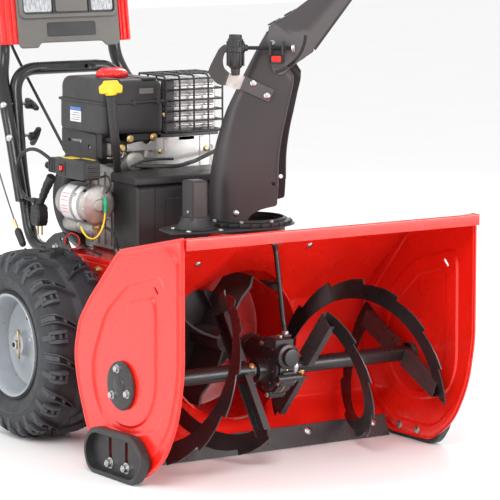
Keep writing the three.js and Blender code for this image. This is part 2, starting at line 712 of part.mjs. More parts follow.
// The dipstick tube's line, from the boss on the crankcase up past the belt cover.
const DIPSTICK_ROUTE = [
  [-110.4, 679.5, 550], [-124, 656, 584], [-140, 632, 626], [-148, 626, 664], [-155, 626, 742],
];

// A point on the tube's straight upper stretch, at a share of its length.
const onDipstick = (share) => {
  const [start, end] = DIPSTICK_ROUTE.slice(-2);
  return start.map((v, i) => v + share * (end[i] - v));
};

const BELT_COVER = { half: 131, front: 560, back: 664, bottom: 386.5, top: 567 };

function beltCover() {
  const { half, front, back, bottom, top } = BELT_COVER;
  const outline = [[front, bottom], [front, top - 24], [front + 26, top], [back, top], [back, bottom]];
  const hollow = [
    [front + 3, bottom - 1], [front + 3, top - 26], [front + 27, top - 3], [back + 5, top - 3],
    [back + 5, bottom - 1],
  ];
  const shell = cut(prism("x", outline, -half, half), prism("x", hollow, -half + 3, half - 3));
  const flange = prism("x", rounded([
    [front + 2, 566.5], [front + 2, 584, 6], [back, 588, 6], [back, 566.5],
  ]), -152, 100);
  const dipstickNotch = bar(DIPSTICK_ROUTE.slice(0, 4), 13, { sides: 10, steps: 6 });
  return cut(join(shell, flange), dipstickNotch);
}

add("belt_cover", beltCover(), BLACK_PLASTIC);

// ---- wheels ------------------------------------------------------------------------------------

// The wheels are many-sided and stand on a flat, so their flats lie at the real radius.
const WHEEL_SIDES = 20;

function wheel(side) {
  const flip = (profile) => (side < 0 ? profile.map(([x, r]) => [-x, r]) : profile);
  const { inner, outer, rim } = WHEEL;
  const centre = [WHEEL.y, WHEEL.z];
  const half = Math.PI / WHEEL_SIDES;
  const radius = WHEEL.radius / Math.cos(half);
  const tyre = [
    [inner + 14, rim + GAP], [inner, 150], [inner + 6, 186], [inner + 26, radius], [outer - 26, radius],
    [outer - 6, 186], [outer, 150], [outer - 14, rim + GAP], [inner + 14, rim + GAP],
  ];
  const disc = [
    [inner + 10, rim - 8], [inner + 10, rim], [outer - 10, rim], [outer - 10, rim - 8],
    [outer - 40, rim - 16],
    [outer - 62, 78], [outer - 48, 40], [outer - 26, 22], [outer - 26, 10], [outer - 76, 10],
    [outer - 76, 78],
    [outer - 60, rim - 14], [inner + 30, rim - 14], [inner + 10, rim - 8],
  ];
  return [tyre, disc].map((profile) => turned("x", flip(profile), centre, WHEEL_SIDES, half));
}

for (const [side, name] of [[-1, "right"], [1, "left"]]) {
  const [tyre, rim] = wheel(side);
  add(`tyre_${name}`, tyre, TYRE_RUBBER);
  add(`rim_${name}`, rim, RIM_PAINT);
}

// ---- engine ------------------------------------------------------------------------------------

function engineBlock() {
  const crankcase = prism("x", rounded([
    [CRANK.front, 386.5], [CRANK.front, 570, 20], [850, 590, 20], [850, 386.5],
  ]), -95, 95);
  const cylinder = box(20, 140, 700, 830, 470, 632);
  const intake = box(-99, 30, 720, 800, 580, 640);
  const boss = join(rod("z", 13, 526, 556, [-110, 680]), box(-112, -90, 673, 694, 522, 549));
  const starterMount = box(-144, -90, 690, 770, 480, 530);
  const shaftHole = rod("y", 12.5, CRANK.front - 5, CRANK.front + 22, [0, CRANK.z], { sides: 12 });
  return cut(join(crankcase, cylinder, intake, boss, starterMount), shaftHole);
}

add("engine_block", engineBlock(), ALUMINIUM);

// The flywheel's shroud and the recoil starter on it, with the rope's guide hole.
function blowerHousing() {
  const centre = [0, CRANK.z];
  const drum = turned("y", [
    [850.5, 0], [850.5, 142], [858, 150], [898, 150], [908, 138], [908, 84], [936, 76], [940, 0],
  ], centre, 22);
  const guide = rod("y", 16, 905, 944, [-100, 560], { sides: 16 });
  const cavity = rod("y", 132, 840, 900, centre, { sides: 16 });
  const ropeHole = rod("y", 4, 880, 950, [-100, 560], { sides: 12 });
  return cut(join(drum, guide), cavity, ropeHole);
}

add("blower_housing", blowerHousing(), BLACK_PLASTIC);

const recoilHandle = join(
  rod("y", 2.5, 800.5, 950, [-100, 560], { sides: 8 }),
  bar([[-134, 952, 560], [-100, 956, 560], [-66, 952, 560]], 8, { sides: 10, steps: 6 }),
);
add("recoil_handle", recoilHandle, BLACK_PLASTIC);

function fuelTank() {
  const { x0, x1, y0, y1, z0, z1 } = TANK;
  const body = prism("z", rounded([[x0, y0, 14], [x1, y0, 14], [x1, y1, 20], [x0, y1, 20]]), z0, z1);
  const seam = prism("z", rounded([
    [x0 - 3, y0 - 3, 14], [x1 + 3, y0 - 3, 14], [x1 + 3, y1 + 3, 20], [x0 - 3, y1 + 3, 20],
  ]), 720, 725);
  const cavity = box(x0 + 6, x1 - 6, y0 + 6, y1 - 6, z0 + 6, z1 - 6);
  const filler = pipe("z", 27, 23, z1 - 10, z1 + 12, [-92, 729], 20);
  const throat = rod("z", 23, z1 - 12, z1 + 20, [-92, 729], { sides: 20 });
  return cut(join(body, seam, filler), cavity, throat);
}

add("fuel_tank", fuelTank(), BLACK_PLASTIC);

const capProfile = [
  [TANK.z1 + 1, 27.6], [TANK.z1 + 1, 34], [TANK.z1 + 10, 34], [TANK.z1 + 18, 24], [TANK.z1 + 20, 0],
  [TANK.z1 + 13, 0], [TANK.z1 + 13, 27.6], [TANK.z1 + 1, 27.6],
];
const capRib = box(-122, -62, 726, 732, TANK.z1 + 12, TANK.z1 + 21);
add("fuel_cap", join(turned("z", capProfile, [-92, 729], 18), capRib), RED_PLASTIC);

function dipstickTube() {
  const outside = bar(DIPSTICK_ROUTE, 9.5, { sides: 8, steps: 9 });
  const bore = bar([...DIPSTICK_ROUTE.slice(2, 4), onDipstick(1.05)], 6, { sides: 8, steps: 5 });
  return cut(outside, bore, box(-140, -90, 650, 700, 530, 556.4));
}

add("dipstick_tube", dipstickTube(), BLACK_PLASTIC);

const dipstick = join(
  bar([onDipstick(0.1), onDipstick(1.06)], 2.5, { sides: 6, steps: 1 }),
  bar([onDipstick(1.01), onDipstick(1.22)], 13, { sides: 12, steps: 1 }),
  box(-181, -131, 619, 633, 760, 772),
);
add("dipstick", dipstick, YELLOW_PLASTIC);

function muffler() {
  const body = prism("x", rounded([
    [672, 645, 12], [672, 768, 12], [775, 768, 12], [775, 645, 12],
  ]), -1, 144);
  const shield = join(
    box(-24, 122, 666, 669, 592, 640),
    box(119, 122, 666, 699, 592, 640),
    box(40, 80, 666, 680, 632, 647),
  );
  const outlet = pipe("x", 14, 10, 140, 162, [720, 672], 16);
  return join(body, shield, outlet);
}

add("muffler", muffler(), ALUMINIUM);

// A cage of flat wire in front of, above and beside the muffler.
function mufflerGuard() {
  const wires = [];
  const half = 1.6;
  const { x0, x1, y0, y1, z0, z1 } = { x0: -4.5, x1: 150, y0: 660, y1: 770, z0: 648, z1: 776 };
  for (let i = 0; i <= 4; i += 1) {
    const x = x0 + ((x1 - x0) * i) / 4;
    wires.push(box(x - half, x + half, y0 - half, y0 + half, z0, z1));
    if (i % 2 === 0) wires.push(box(x - half, x + half, y0, y1, z1 - half, z1 + half));
  }
  for (let i = 0; i <= 3; i += 1) {
    const z = z0 + ((z1 - z0) * i) / 3;
    wires.push(box(x0 - half, x1 + half, y0 - half, y0 + half, z - half, z + half));
    wires.push(box(x0 - half, x0 + half, y0, y1, z - half, z + half));
  }
  wires.push(box(x0 - half, x1 + half, y1 - half, y1 + half, z1 - half, z1 + half));
  wires.push(box(x0 - half, x0 + half, y1 - half, y1 + half, z0, z1 + half));
  return join(wires);
}

add("muffler_guard", mufflerGuard(), BLACK_PAINT);

function carburetorCover() {
  const shell = prism("x", rounded([
    [699, 586], [699, 651, 6], [848, 651, 6], [848, 604], [800, 586],
  ]), -152, -101);
  const hollow = box(-148, -90, 704, 843, 608, 646);
  const lowerHollow = box(-148, -90, 704, 796, 590, 612);
  return cut(shell, hollow, lowerHollow);
}

add("carburetor_cover", carburetorCover(), BLACK_PAINT);

const starterMotor = join(
  turned("y", [
    [STARTER.front, 0], [STARTER.front, 20], [STARTER.front + 4, 38],
    [STARTER.front + 12, STARTER.radius], [STARTER.back - 6, STARTER.radius], [STARTER.back, 38],
    [STARTER.back, 0],
  ], [STARTER.x, STARTER.z], 20),
  rod("y", 17, 640, 770, [STARTER.x + 8, STARTER.z - 52], { sides: 16 }),
  box(-194, -170, 650, 760, STARTER.z - 50, STARTER.z - 30),
);
add("starter_motor", starterMotor, ALUMINIUM);

const SWITCH = { x0: -232, x1: -172, y0: 588, y1: 752, z0: 553, z1: 603 };

function switchBox() {
  const { x0, x1, y0, y1, z0, z1 } = SWITCH;
  const body = prism("z", rounded([[x0, y0, 6], [x1, y0, 6], [x1, y1, 6], [x0, y1, 6]]), z0, z1);
  const inlet = box(-222, -190, y1 - 1, y1 + 34, 556, 599);
  const well = box(x0 - 1, x0 + 12, 698, 716, 574, 592);
  return cut(join(body, inlet), well);
}

add("starter_switch_box", switchBox(), BLACK_PLASTIC);

const buttonProfile = [[SWITCH.x0 - 5, 0], [SWITCH.x0 - 4, 6], [SWITCH.x0 + 7, 6.5], [SWITCH.x0 + 7, 0]];
add("starter_button", turned("x", buttonProfile, [707, 583], 16), RED_PLASTIC);

// The starter's lead: it leaves the inlet, loops back beside the handle tubes and comes forward
// again to the plug, which hangs from the inlet on its moulded neck.
const LEAD_ROUTE = [
  [-206, 787, 588], [-206.6, 798, 590], [-210, 818, 599], [-214, 840, 607], [-216, 864, 609],
  [-217, 888, 605],
  [-218, 910, 595], [-218, 926, 580], [-218, 933, 562], [-218, 933, 543], [-218, 927, 525],
  [-218, 916, 510],
  [-217, 901, 500], [-216, 886, 496], [-214, 872, 495],
];
const LEAD_RADIUS = 4;
add("starter_cord", bar(LEAD_ROUTE, LEAD_RADIUS, { sides: 6, steps: 24 }), RUBBER);

const plugBody = prism("x", rounded([
  [836, 488, 8], [866, 488, 8], [872, 462, 6], [866, 440, 4], [836, 440, 4], [830, 462, 6],
]), -222, -196);
const starterPlug = join(
  plugBody,
  bar([[-208, 795, 554], [-209, 822, 522], [-209, 846, 487]], 9, { sides: 12, steps: 6 }),
  rod("y", 7, 858, 871.4, [-213, 494], { sides: 12 }),
  box(-214, -204, 848, 862, 480, 498),
  [840, 858].map((y) => rod("z", 2.4, 420, 441, [-209, y], { sides: 8 })),
);
add("starter_plug", starterPlug, RUBBER);

// ---- handles and console -----------------------------------------------------------------------

// The lower bar: from the frame back, up on both sides, and across under the console.
function lowerBar() {
  const half = [[157, 826, 383], [157, 980, 374], [153, 1034, 544], [137, 1093, 767]];
  const side = (s) => half.map(([x, y, z]) => [s * x, y, z]);
  const run = [...side(-1), ...side(1).reverse()];
  const tube = bar(run, TUBE, { sides: 8, steps: 34, bend: 60 });
  const brackets = both((s) => {
    const plate = prism("x", rounded([
      [764, 340, 8], [764, 376, 8], [800, 404, 12], [884, 398, 10], [884, 366, 10], [836, 340, 10],
    ]), s < 0 ? -176 : 172, s < 0 ? -172 : 176);
    const spacer = box(s < 0 ? -173 : 165.5, s < 0 ? -165.5 : 173, 770, 812, 346, 370);
    const lug = box(s < 0 ? -173 : 160, s < 0 ? -160 : 173, 840, 870, 372, 392);
    const cableStop = box(s < 0 ? -199 : 174, s < 0 ? -174 : 199, 880, 884, 340, 370);
    return join(plate, spacer, lug, cableStop);
  });
  return join(tube, ...brackets);
}

add("handle_lower_bar", lowerBar(), BLACK_PAINT);

// The upper bar: a tube up each side, back to the grips, and a cross tube under the console.
function upperBar() {
  const tubes = both((s) => {
    const run = [
      [184, 976, 480], [181, 1026, 619], [176, 1061, 690], [158, 1108, 755], [147, 1123, 802],
      [144, 1132, 880], [148, 1200, 955], [155, 1290, 968], [158, 1430, 972],
    ];
    const route = run.map(([x, y, z]) => [s * x, y, z]);
    const grip = bar([[s * 155.5, 1306, 968.6], [s * 158, 1432, 972]], 18, { sides: 8, steps: 1 });
    const ears = both((t) => box(s * 155 + t * 17 - 2, s * 155 + t * 17 + 2, 1278, 1300, 964, 1006));
    const lug = box(s * 155 - 19, s * 155 + 19, 1280, 1298, 958, 970);
    const pin = rod("x", 3.4, s * 155 - 18, s * 155 + 18, [1289, 994], { sides: 10 });
    return join(bar(route, TUBE, { sides: 8, steps: 16 }), grip, ...ears, lug, pin);
  });
  const cross = rod("x", 12, -145, 145, [1132, 880], { sides: 12 });
  return join(...tubes, cross);
}

add("handle_upper_bar", upperBar(), BLACK_PAINT);

// The deck slopes from the front panel's top edge to the rear; levers stand in its slots.
const PANEL_FOOT = [1080, 822];
const PANEL_TOP = [1104, 985];
const DECK_END = [1236, 1002];

const SPEED_PIVOT = [1182, 940];
const JOYSTICK = { x: -68, y: 1175, z: 950 };

// The panel carries the speed lever's pin on its left rib and the joystick's on a tab.
function consolePanel() {
  const line = [PANEL_FOOT, PANEL_TOP, DECK_END];
  const inner = [
    [DECK_END[0], DECK_END[1] - 4],
    [PANEL_TOP[0] + 4, PANEL_TOP[1] - 4],
    [PANEL_FOOT[0] + 4, PANEL_FOOT[1]],
  ];
  const shell = prism("x", [...line, ...inner], -122, 122);
  const ribLine = [[1081, 830], [1105, 984], [1202, 996], [1194, 930], [1118, 900], [1104, 868]];
  const ribs = both((s) => prism("x", ribLine, s < 0 ? -122 : 118, s < 0 ? -118 : 122));
  const tab = box(JOYSTICK.x - 8, JOYSTICK.x + 8, 1154, 1158, JOYSTICK.z - 10, 990);
  const slots = [box(4, 16, 1140, 1224, 970, 1020), box(-92, -44, 1161, 1192, 970, 1020)];
  const notch = box(-52, 52, 1060, 1100, 800, 836);
  const body = cut(join(shell, ...ribs, tab), slots, notch);
  const leverPin = rod("x", 5, -2, 120, SPEED_PIVOT, { sides: 10 });
  const stickPin = rod("y", 4, 1156, 1186, [JOYSTICK.x, JOYSTICK.z], { sides: 10 });
  return join(body, leverPin, stickPin);
}

add("console_panel", consolePanel(), GREY_PLASTIC);

function consoleCheek(side) {
  const at = (from, to) => (side < 0 ? [-to, -from] : [from, to]);
  const front = prism("x", [[1078, 830], [1102, 988], [1106, 988], [1082, 830]], ...at(122.5, 173.5));
  const wall = prism("x", [
    [1078, 830], [1102, 988], [1240, 1006], [1240, 985], [1120, 850],
  ], ...at(170.5, 173.5));
  const top = prism("x", [[1102, 984], [1102, 988], [1240, 1006], [1240, 1002]], ...at(122.5, 173.5));
  return join(front, wall, top);
}

add("console_cheek_right", consoleCheek(-1), RED_PLASTIC);
add("console_cheek_left", consoleCheek(1), RED_PLASTIC);

// A squeeze paddle over a grip, on the pin between the upper bar's ears.
function paddle(side) {
  const x = side * 155;
  const barrel = rod("x", 8, x - 14, x + 14, [1289, 994], { sides: 14 });
  const blade = prism("x", rounded([
    [1284, 998], [1300, 1002, 10], [1350, 1022, 20], [1424, 1022], [1424, 1027], [1348, 1027, 20],
    [1290, 1008, 8],
  ]), x - 15, x + 15);
  const bore = rod("x", 3.8, x - 20, x + 20, [1289, 994], { sides: 10 });
  return cut(join(barrel, blade), bore);
}

add("auger_paddle", paddle(1), BLACK_PLASTIC);
add("traction_paddle", paddle(-1), BLACK_PLASTIC);

const speedLever = join(
  pipe("x", 9, 5.5, 1, 19, SPEED_PIVOT, 12),
  bar([[10, 1182, 946.5], [10, 1180, 1062]], 4.5, { sides: 8, steps: 1 }),
  ellipsoid(14, 14, 19, 10, 1180, 1068, 10),
);
add("speed_lever", speedLever, BLACK_PLASTIC);

const chuteJoystick = join(
  pipe("y", 9, 4.5, 1166, 1184, [JOYSTICK.x, JOYSTICK.z], 12),
  bar([
    [JOYSTICK.x, JOYSTICK.y, JOYSTICK.z + 6], [JOYSTICK.x, JOYSTICK.y, 1034],
  ], 4.5, { sides: 8, steps: 1 }),
  ellipsoid(13, 13, 15, JOYSTICK.x, JOYSTICK.y, 1040, 10),
);
add("chute_joystick", chuteJoystick, BLACK_PLASTIC);

// The auger clutch's cable, from under the console down to the arm on the frame, with its boot.
const CABLE_ROUTE = [
  [-165, 1289, 954.5], [-165, 1289, 944], [-180, 1240, 850], [-196, 1140, 680], [-202, 1044, 533],
  [-201, 968, 420],
  [-198, 944, 382], [-191, 918, 357], [-188, 884.6, 354],
];
const clutchCable = join(
  bar(CABLE_ROUTE, 2.6, { sides: 6, steps: 18 }),
  bar([[-201, 968, 420], [-198, 944, 382]], 9, { sides: 8, steps: 1 }),
  bar([[-201.4, 976, 432], [-201, 968, 420]], 4.4, { sides: 6, steps: 1 }),
);
add("clutch_cable", clutchCable, RUBBER);

// ---- origin ------------------------------------------------------------------------------------

machine.updateMatrixWorld(true);
const bounds = new THREE.Box3().setFromObject(machine, true);
machine.position.set(-(bounds.min.x + bounds.max.x) / 2, -(bounds.min.y + bounds.max.y) / 2, -bounds.min.z);

export default machine;
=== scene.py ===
"""The looks of a walk-behind snow blower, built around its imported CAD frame.

Shapes are laid out in millimetres, as the machine is: x across (its right side is at -x), y from
the auger mouth's front edge back to the operator, z up from the ground. MACHINE turns them into
the row's metres. The chute's pieces have a frame of their own, TURRET, which discharges along -y.
"""

import math

import bmesh
import bpy
import numpy as np
from mathutils import Matrix, Vector


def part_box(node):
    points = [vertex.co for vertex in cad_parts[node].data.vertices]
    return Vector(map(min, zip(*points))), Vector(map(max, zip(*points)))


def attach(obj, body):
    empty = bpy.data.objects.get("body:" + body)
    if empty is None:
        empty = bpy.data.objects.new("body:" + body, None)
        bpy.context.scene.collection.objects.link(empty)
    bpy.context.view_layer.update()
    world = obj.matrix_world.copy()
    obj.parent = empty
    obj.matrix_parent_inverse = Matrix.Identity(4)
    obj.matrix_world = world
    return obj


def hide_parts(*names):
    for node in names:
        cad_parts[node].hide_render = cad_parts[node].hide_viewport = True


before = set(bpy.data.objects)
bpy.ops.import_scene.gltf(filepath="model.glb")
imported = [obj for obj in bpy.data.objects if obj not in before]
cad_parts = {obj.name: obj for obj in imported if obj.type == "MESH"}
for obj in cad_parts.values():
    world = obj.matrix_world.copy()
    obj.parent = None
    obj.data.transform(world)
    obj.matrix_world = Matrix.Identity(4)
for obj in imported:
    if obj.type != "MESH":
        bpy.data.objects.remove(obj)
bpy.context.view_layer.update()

RAIL_PROUD = 4  # the mouth's folded rail stands this far in front of y = 0
MOUTH_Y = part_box("auger_housing")[0].y + RAIL_PROUD / 1000
MACHINE = Matrix.Translation((0, MOUTH_Y, 0)) @ Matrix.Scale(0.001, 4)
CHUTE_CENTRE = (60, 425)
CHUTE_TURN = 50
TURRET = (
    MACHINE
    @ Matrix.Translation((*CHUTE_CENTRE, 0))
    @ Matrix.Rotation(math.radians(CHUTE_TURN), 4, "Z")
)


def metres(point, basis=MACHINE):
    return basis @ Vector(point)


# ---- camera, light and floor -------------------------------------------------------------------

CAMERA_SPOT = (-3330.6, -4773.1, 1281.0)
CAMERA_YAW = 33.186  # degrees to the right of straight back
CAMERA_DIP = 7.949  # degrees below level


def add_camera():
    data = bpy.data.cameras.new("camera")
    data.sensor_width = 36
    data.lens = 210.6
    data.clip_end = 60
    camera = bpy.data.objects.new("camera", data)
    camera.location = metres(CAMERA_SPOT)
    camera.rotation_euler = (math.radians(90 - CAMERA_DIP), 0, -math.radians(CAMERA_YAW))
    bpy.context.scene.collection.objects.link(camera)
    bpy.context.scene.camera = camera


def add_light(name, spot, target, size, power, color=(1, 1, 1)):
    data = bpy.data.lights.new(name, "AREA")
    data.shape = "RECTANGLE"
    data.size, data.size_y = size
    data.energy = power
    data.color = color
    light = bpy.data.objects.new(name, data)
    light.location = spot
    light.rotation_euler = (Vector(target) - Vector(spot)).to_track_quat("-Z", "Y").to_euler()
    bpy.context.scene.collection.objects.link(light)


def add_studio():
    world = bpy.data.worlds.new("studio")
    world.use_nodes = True
    background = world.node_tree.nodes["Background"]
    background.inputs["Color"].default_value = (1, 1, 1, 1)
    background.inputs["Strength"].default_value = 1.0
    bpy.context.scene.world = world
    bpy.context.scene.view_settings.view_transform = "Standard"
    middle = (0, -0.2, 0.4)
    add_light("key", (-2.2, -3.2, 3.4), middle, (1.6, 1.6), 95)
    add_light("front", (1.6, -3.8, 1.0), middle, (2.6, 1.2), 80)
    add_light("rim", (2.6, 2.4, 2.6), middle, (1.4, 1.4), 45)
    add_light("side", (-3.4, 0.6, 1.6), middle, (1.2, 2.0), 30)


# ---- materials ---------------------------------------------------------------------------------


class Look:
    """A procedural material: two close colours mixed by noise, varying roughness and a bump."""

    def __init__(self, slot, color, second, roughness, metallic=0.0):
        self.slot = slot
        self.material = bpy.data.materials.new(f"look_{slot}")
        self.material.use_nodes = True
        self.tree = self.material.node_tree
        self.shader = self.tree.nodes["Principled BSDF"]
        self.shader.inputs["Metallic"].default_value = metallic
        self.coordinates = self.node("ShaderNodeTexCoord").outputs["Object"]
        self.mixed = self.node("ShaderNodeMix", data_type="RGBA")
        self.mixed.inputs["A"].default_value = (*color, 1)
        self.mixed.inputs["B"].default_value = (*second, 1)
        self.link(self.mixed.outputs["Result"], self.shader.inputs["Base Color"])
        self.roughness = roughness
        self.height = None

    def node(self, kind, **settings):
        made = self.tree.nodes.new(kind)
        for key, value in settings.items():
            setattr(made, key, value)
        return made

    def link(self, output, socket):
        self.tree.links.new(output, socket)

    def noise(self, scale, detail=3.0, stretch=(1, 1, 1)):
        mapping = self.node("ShaderNodeMapping")
        mapping.inputs["Scale"].default_value = stretch
        self.link(self.coordinates, mapping.inputs["Vector"])
        made = self.node("ShaderNodeTexNoise")
        made.inputs["Scale"].default_value = scale
        made.inputs["Detail"].default_value = detail
        self.link(mapping.outputs["Vector"], made.inputs["Vector"])
        return made.outputs["Fac"]

    def remap(self, value, low, high, out_low, out_high):
        made = self.node("ShaderNodeMapRange")
        made.inputs["From Min"].default_value = low
        made.inputs["From Max"].default_value = high
        made.inputs["To Min"].default_value = out_low
        made.inputs["To Max"].default_value = out_high
        self.link(value, made.inputs["Value"])
        return made.outputs["Result"]

    def vary(self, scale, stretch=(1, 1, 1)):
        """Spreads the two colours and the roughness in soft patches."""
        patches = self.noise(scale, 4.0, stretch)
        self.link(self.remap(patches, 0.35, 0.65, 0, 1), self.mixed.inputs["Factor"])
        low, high = self.roughness
        smears = self.noise(scale * 2.3, 3.0, stretch)
        self.link(self.remap(smears, 0.3, 0.7, low, high), self.shader.inputs["Roughness"])
        return self

    def bump(self, scale, strength, distance=0.0004, stretch=(1, 1, 1), detail=2.0):
        """Adds a layer of relief under the ones already there."""
        made = self.node("ShaderNodeBump")
        made.inputs["Strength"].default_value = strength
        made.inputs["Distance"].default_value = distance
        self.link(self.noise(scale, detail, stretch), made.inputs["Height"])
        if self.height:
            self.link(self.height, made.inputs["Normal"])
        self.height = made.outputs["Normal"]
        self.link(self.height, self.shader.inputs["Normal"])
        return self

    def edge_highlight(self, color, start=0.53, end=0.58):
        """Paints a lighter colour on outward edges: a painted highlight where the edges catch the light."""
        edges = self.node("ShaderNodeNewGeometry").outputs["Pointiness"]
        highlight_mask = self.remap(edges, start, end, 0, 0.6)
        mixed = self.node("ShaderNodeMix", data_type="RGBA")
        self.link(highlight_mask, mixed.inputs["Factor"])
        self.link(self.mixed.outputs["Result"], mixed.inputs["A"])
        mixed.inputs["B"].default_value = (*color, 1)
        self.link(mixed.outputs["Result"], self.shader.inputs["Base Color"])
        return self

    def coat(self, weight, roughness=0.08):
        self.shader.inputs["Coat Weight"].default_value = weight
        self.shader.inputs["Coat Roughness"].default_value = roughness
        return self

    def done(self, slot=None):
        self.material["slot"] = slot or self.slot
        return self.material


def looks():
    red = Look("red_paint", (0.88, 0.016, 0.007), (0.82, 0.013, 0.006), (0.2, 0.3))
    red.vary(9).bump(900, 0.04).bump(40, 0.02, 0.0006).coat(0.35)
    black = Look("black_paint", (0.011, 0.009, 0.010), (0.017, 0.014, 0.015), (0.24, 0.38))
    # The lighter outward edges on the black paint are a painted highlight.
    black.vary(14).bump(1400, 0.1).edge_highlight((0.08, 0.072, 0.074))
    gloss_black = Look("tube_paint", (0.014, 0.014, 0.015), (0.02, 0.02, 0.021), (0.18, 0.3))
    gloss_black.vary(20).bump(700, 0.06)
    chute = Look("chute_paint", (0.036, 0.030, 0.032), (0.045, 0.038, 0.040), (0.34, 0.48))
    # The lighter outward edges on the chute paint are a painted highlight.
    chute.vary(7).bump(1600, 0.12).edge_highlight((0.10, 0.092, 0.094), 0.55, 0.62)
    plastic = Look("black_plastic", (0.022, 0.022, 0.023), (0.030, 0.029, 0.030), (0.38, 0.52))
    plastic.vary(16).bump(2600, 0.22).bump(120, 0.05)
    grey = Look("grey_plastic", (0.130, 0.122, 0.112), (0.150, 0.141, 0.130), (0.42, 0.55))
    grey.vary(12).bump(2400, 0.25)
    red_plastic = Look("red_plastic", (0.83, 0.014, 0.010), (0.76, 0.012, 0.010), (0.18, 0.3))
    red_plastic.vary(14).bump(500, 0.05).coat(0.3)
    yellow = Look("yellow_plastic", (0.88, 0.62, 0.02), (0.82, 0.55, 0.015), (0.3, 0.42))
    yellow.vary(40).bump(900, 0.06)
    steel = Look("steel", (0.62, 0.62, 0.62), (0.5, 0.5, 0.51), (0.24, 0.42), 1.0)
    steel.vary(160).bump(900, 0.1)
    gold = Look("zinc_gold", (0.72, 0.52, 0.2), (0.6, 0.46, 0.24), (0.26, 0.42), 1.0)
    gold.vary(260).bump(900, 0.1)
    cast = Look("aluminium", (0.50, 0.48, 0.45), (0.38, 0.365, 0.345), (0.4, 0.6), 0.85)
    cast.vary(60).bump(900, 0.28, 0.0005).bump(220, 0.1, 0.0005)
    bright = Look("bright_sheet", (0.60, 0.58, 0.57), (0.52, 0.50, 0.49), (0.34, 0.46), 0.9)
    bright.vary(24).bump(420, 0.03)
    rim = Look("rim_paint", (0.36, 0.385, 0.41), (0.32, 0.345, 0.37), (0.26, 0.38), 0.15)
    rim.vary(18).bump(900, 0.07).coat(0.2)
    tyre = Look("tyre", (0.017, 0.018, 0.022), (0.028, 0.030, 0.035), (0.46, 0.66))
    # The lighter lug edges on the tyre are a painted highlight.
    tyre.vary(24).bump(1500, 0.22).bump(260, 0.12).edge_highlight((0.075, 0.078, 0.086), 0.54, 0.62)
    # Near-black look for holes: painted shade for the dark inside of vents, recesses and the space behind
    # slots.
    hole = Look("hole_shade_black", (0.004, 0.004, 0.004), (0.007, 0.007, 0.007), (0.8, 0.95))
    hole.vary(80).bump(900, 0.1)
    rubber = Look("rubber", (0.016, 0.016, 0.017), (0.024, 0.024, 0.025), (0.42, 0.6))
    rubber.vary(60).bump(1800, 0.18)
    paper = Look("label_white", (0.78, 0.78, 0.79), (0.70, 0.70, 0.72), (0.4, 0.5))
    paper.vary(120).bump(700, 0.04)
    blue = Look("label_blue", (0.07, 0.16, 0.48), (0.09, 0.19, 0.52), (0.4, 0.5))
    blue.vary(120).bump(700, 0.04)
    green = Look("wire_green", (0.01, 0.36, 0.16), (0.02, 0.42, 0.2), (0.35, 0.45))
    green.vary(90).bump(900, 0.08)
    lens = Look("lens", (0.56, 0.57, 0.60), (0.30, 0.31, 0.34), (0.08, 0.16), 0.3)
    lens.vary(90, (3, 1, 1)).bump(160, 0.4, 0.001, (3, 1, 0.4)).coat(0.9, 0.03)
    return {
        "red": red.done(),
        "black": black.done(),
        "tube": gloss_black.done("black_paint"),
        "chute": chute.done("black_paint"),
        "plastic": plastic.done(),
        "grey": grey.done(),
        "red_plastic": red_plastic.done(),
        "yellow": yellow.done(),
        "steel": steel.done(),
        "gold": gold.done("steel"),
        "cast": cast.done(),
        "bright": bright.done("aluminium"),
        "rim": rim.done(),
        "tyre": tyre.done(),
        "hole": hole.done("black_plastic"),
        "rubber": rubber.done(),
        "label": paper.done("grey_plastic"),
        "label_blue": blue.done("grey_plastic"),
        "green": green.done("yellow_plastic"),
        "lens": lens.done("grey_plastic"),
    }


add_camera()
add_studio()
LOOKS = looks()


# ---- lines and outlines ------------------------------------------------------------------------


def on_axis(axis, u, v, along):
    """Puts (u, v) and a distance along an axis into x, y, z order."""
    return {"x": (along, u, v), "y": (u, along, v), "z": (u, v, along)}[axis]


def arc(centre, radius, start, end, steps):
    """Points round a centre, from one angle to another, in degrees."""
    angles = [math.radians(start + (end - start) * i / steps) for i in range(steps + 1)]
    return [(centre[0] + radius * math.cos(a), centre[1] + radius * math.sin(a)) for a in angles]


def on_circle(centre, radius, degrees):
    return arc(centre, radius, degrees, degrees + 1, 1)[0]


def circle(centre, radius, sides=32):
    return arc(centre, radius, 0, 360, sides)[:-1]


def rounded(points, steps=5):
    """Corners given as (u, v, radius) become curves; (u, v) stays sharp."""
    result = []
    for i, (u, v, *rest) in enumerate(points):
        corner = Vector((u, v))
        if not rest:
            result.append((u, v))
            continue
        before = Vector(points[i - 1][:2]) - corner
        after = Vector(points[(i + 1) % len(points)][:2]) - corner
        reach = min(rest[0], 0.48 * before.length, 0.48 * after.length)
        start = corner + before.normalized() * reach
        end = corner + after.normalized() * reach
        for k in range(steps + 1):
            t = k / steps
            spot = (1 - t) ** 2 * start + 2 * t * (1 - t) * corner + t * t * end
            result.append((spot.x, spot.y))
    return result


def inset(outline, distance):
    """The closed outline moved inwards by a small distance."""
    count = len(outline)
    area = sum(
        outline[i][0] * outline[(i + 1) % count][1] - outline[(i + 1) % count][0] * outline[i][1]
        for i in range(count)
    )
    side = 1 if area > 0 else -1
    result = []
    for i in range(count):
        here = Vector(outline[i])
        ahead = (Vector(outline[(i + 1) % count]) - here).normalized()
        behind = (here - Vector(outline[i - 1])).normalized()
        normal = Vector((-ahead.y - behind.y, ahead.x + behind.x)) * side
        if normal.length < 1e-6:
            result.append(tuple(here))
            continue
        normal.normalize()
        cosine = max(0.45, normal.dot(Vector((-ahead.y, ahead.x)) * side))
        result.append(tuple(here + normal * distance / cosine))
    return result


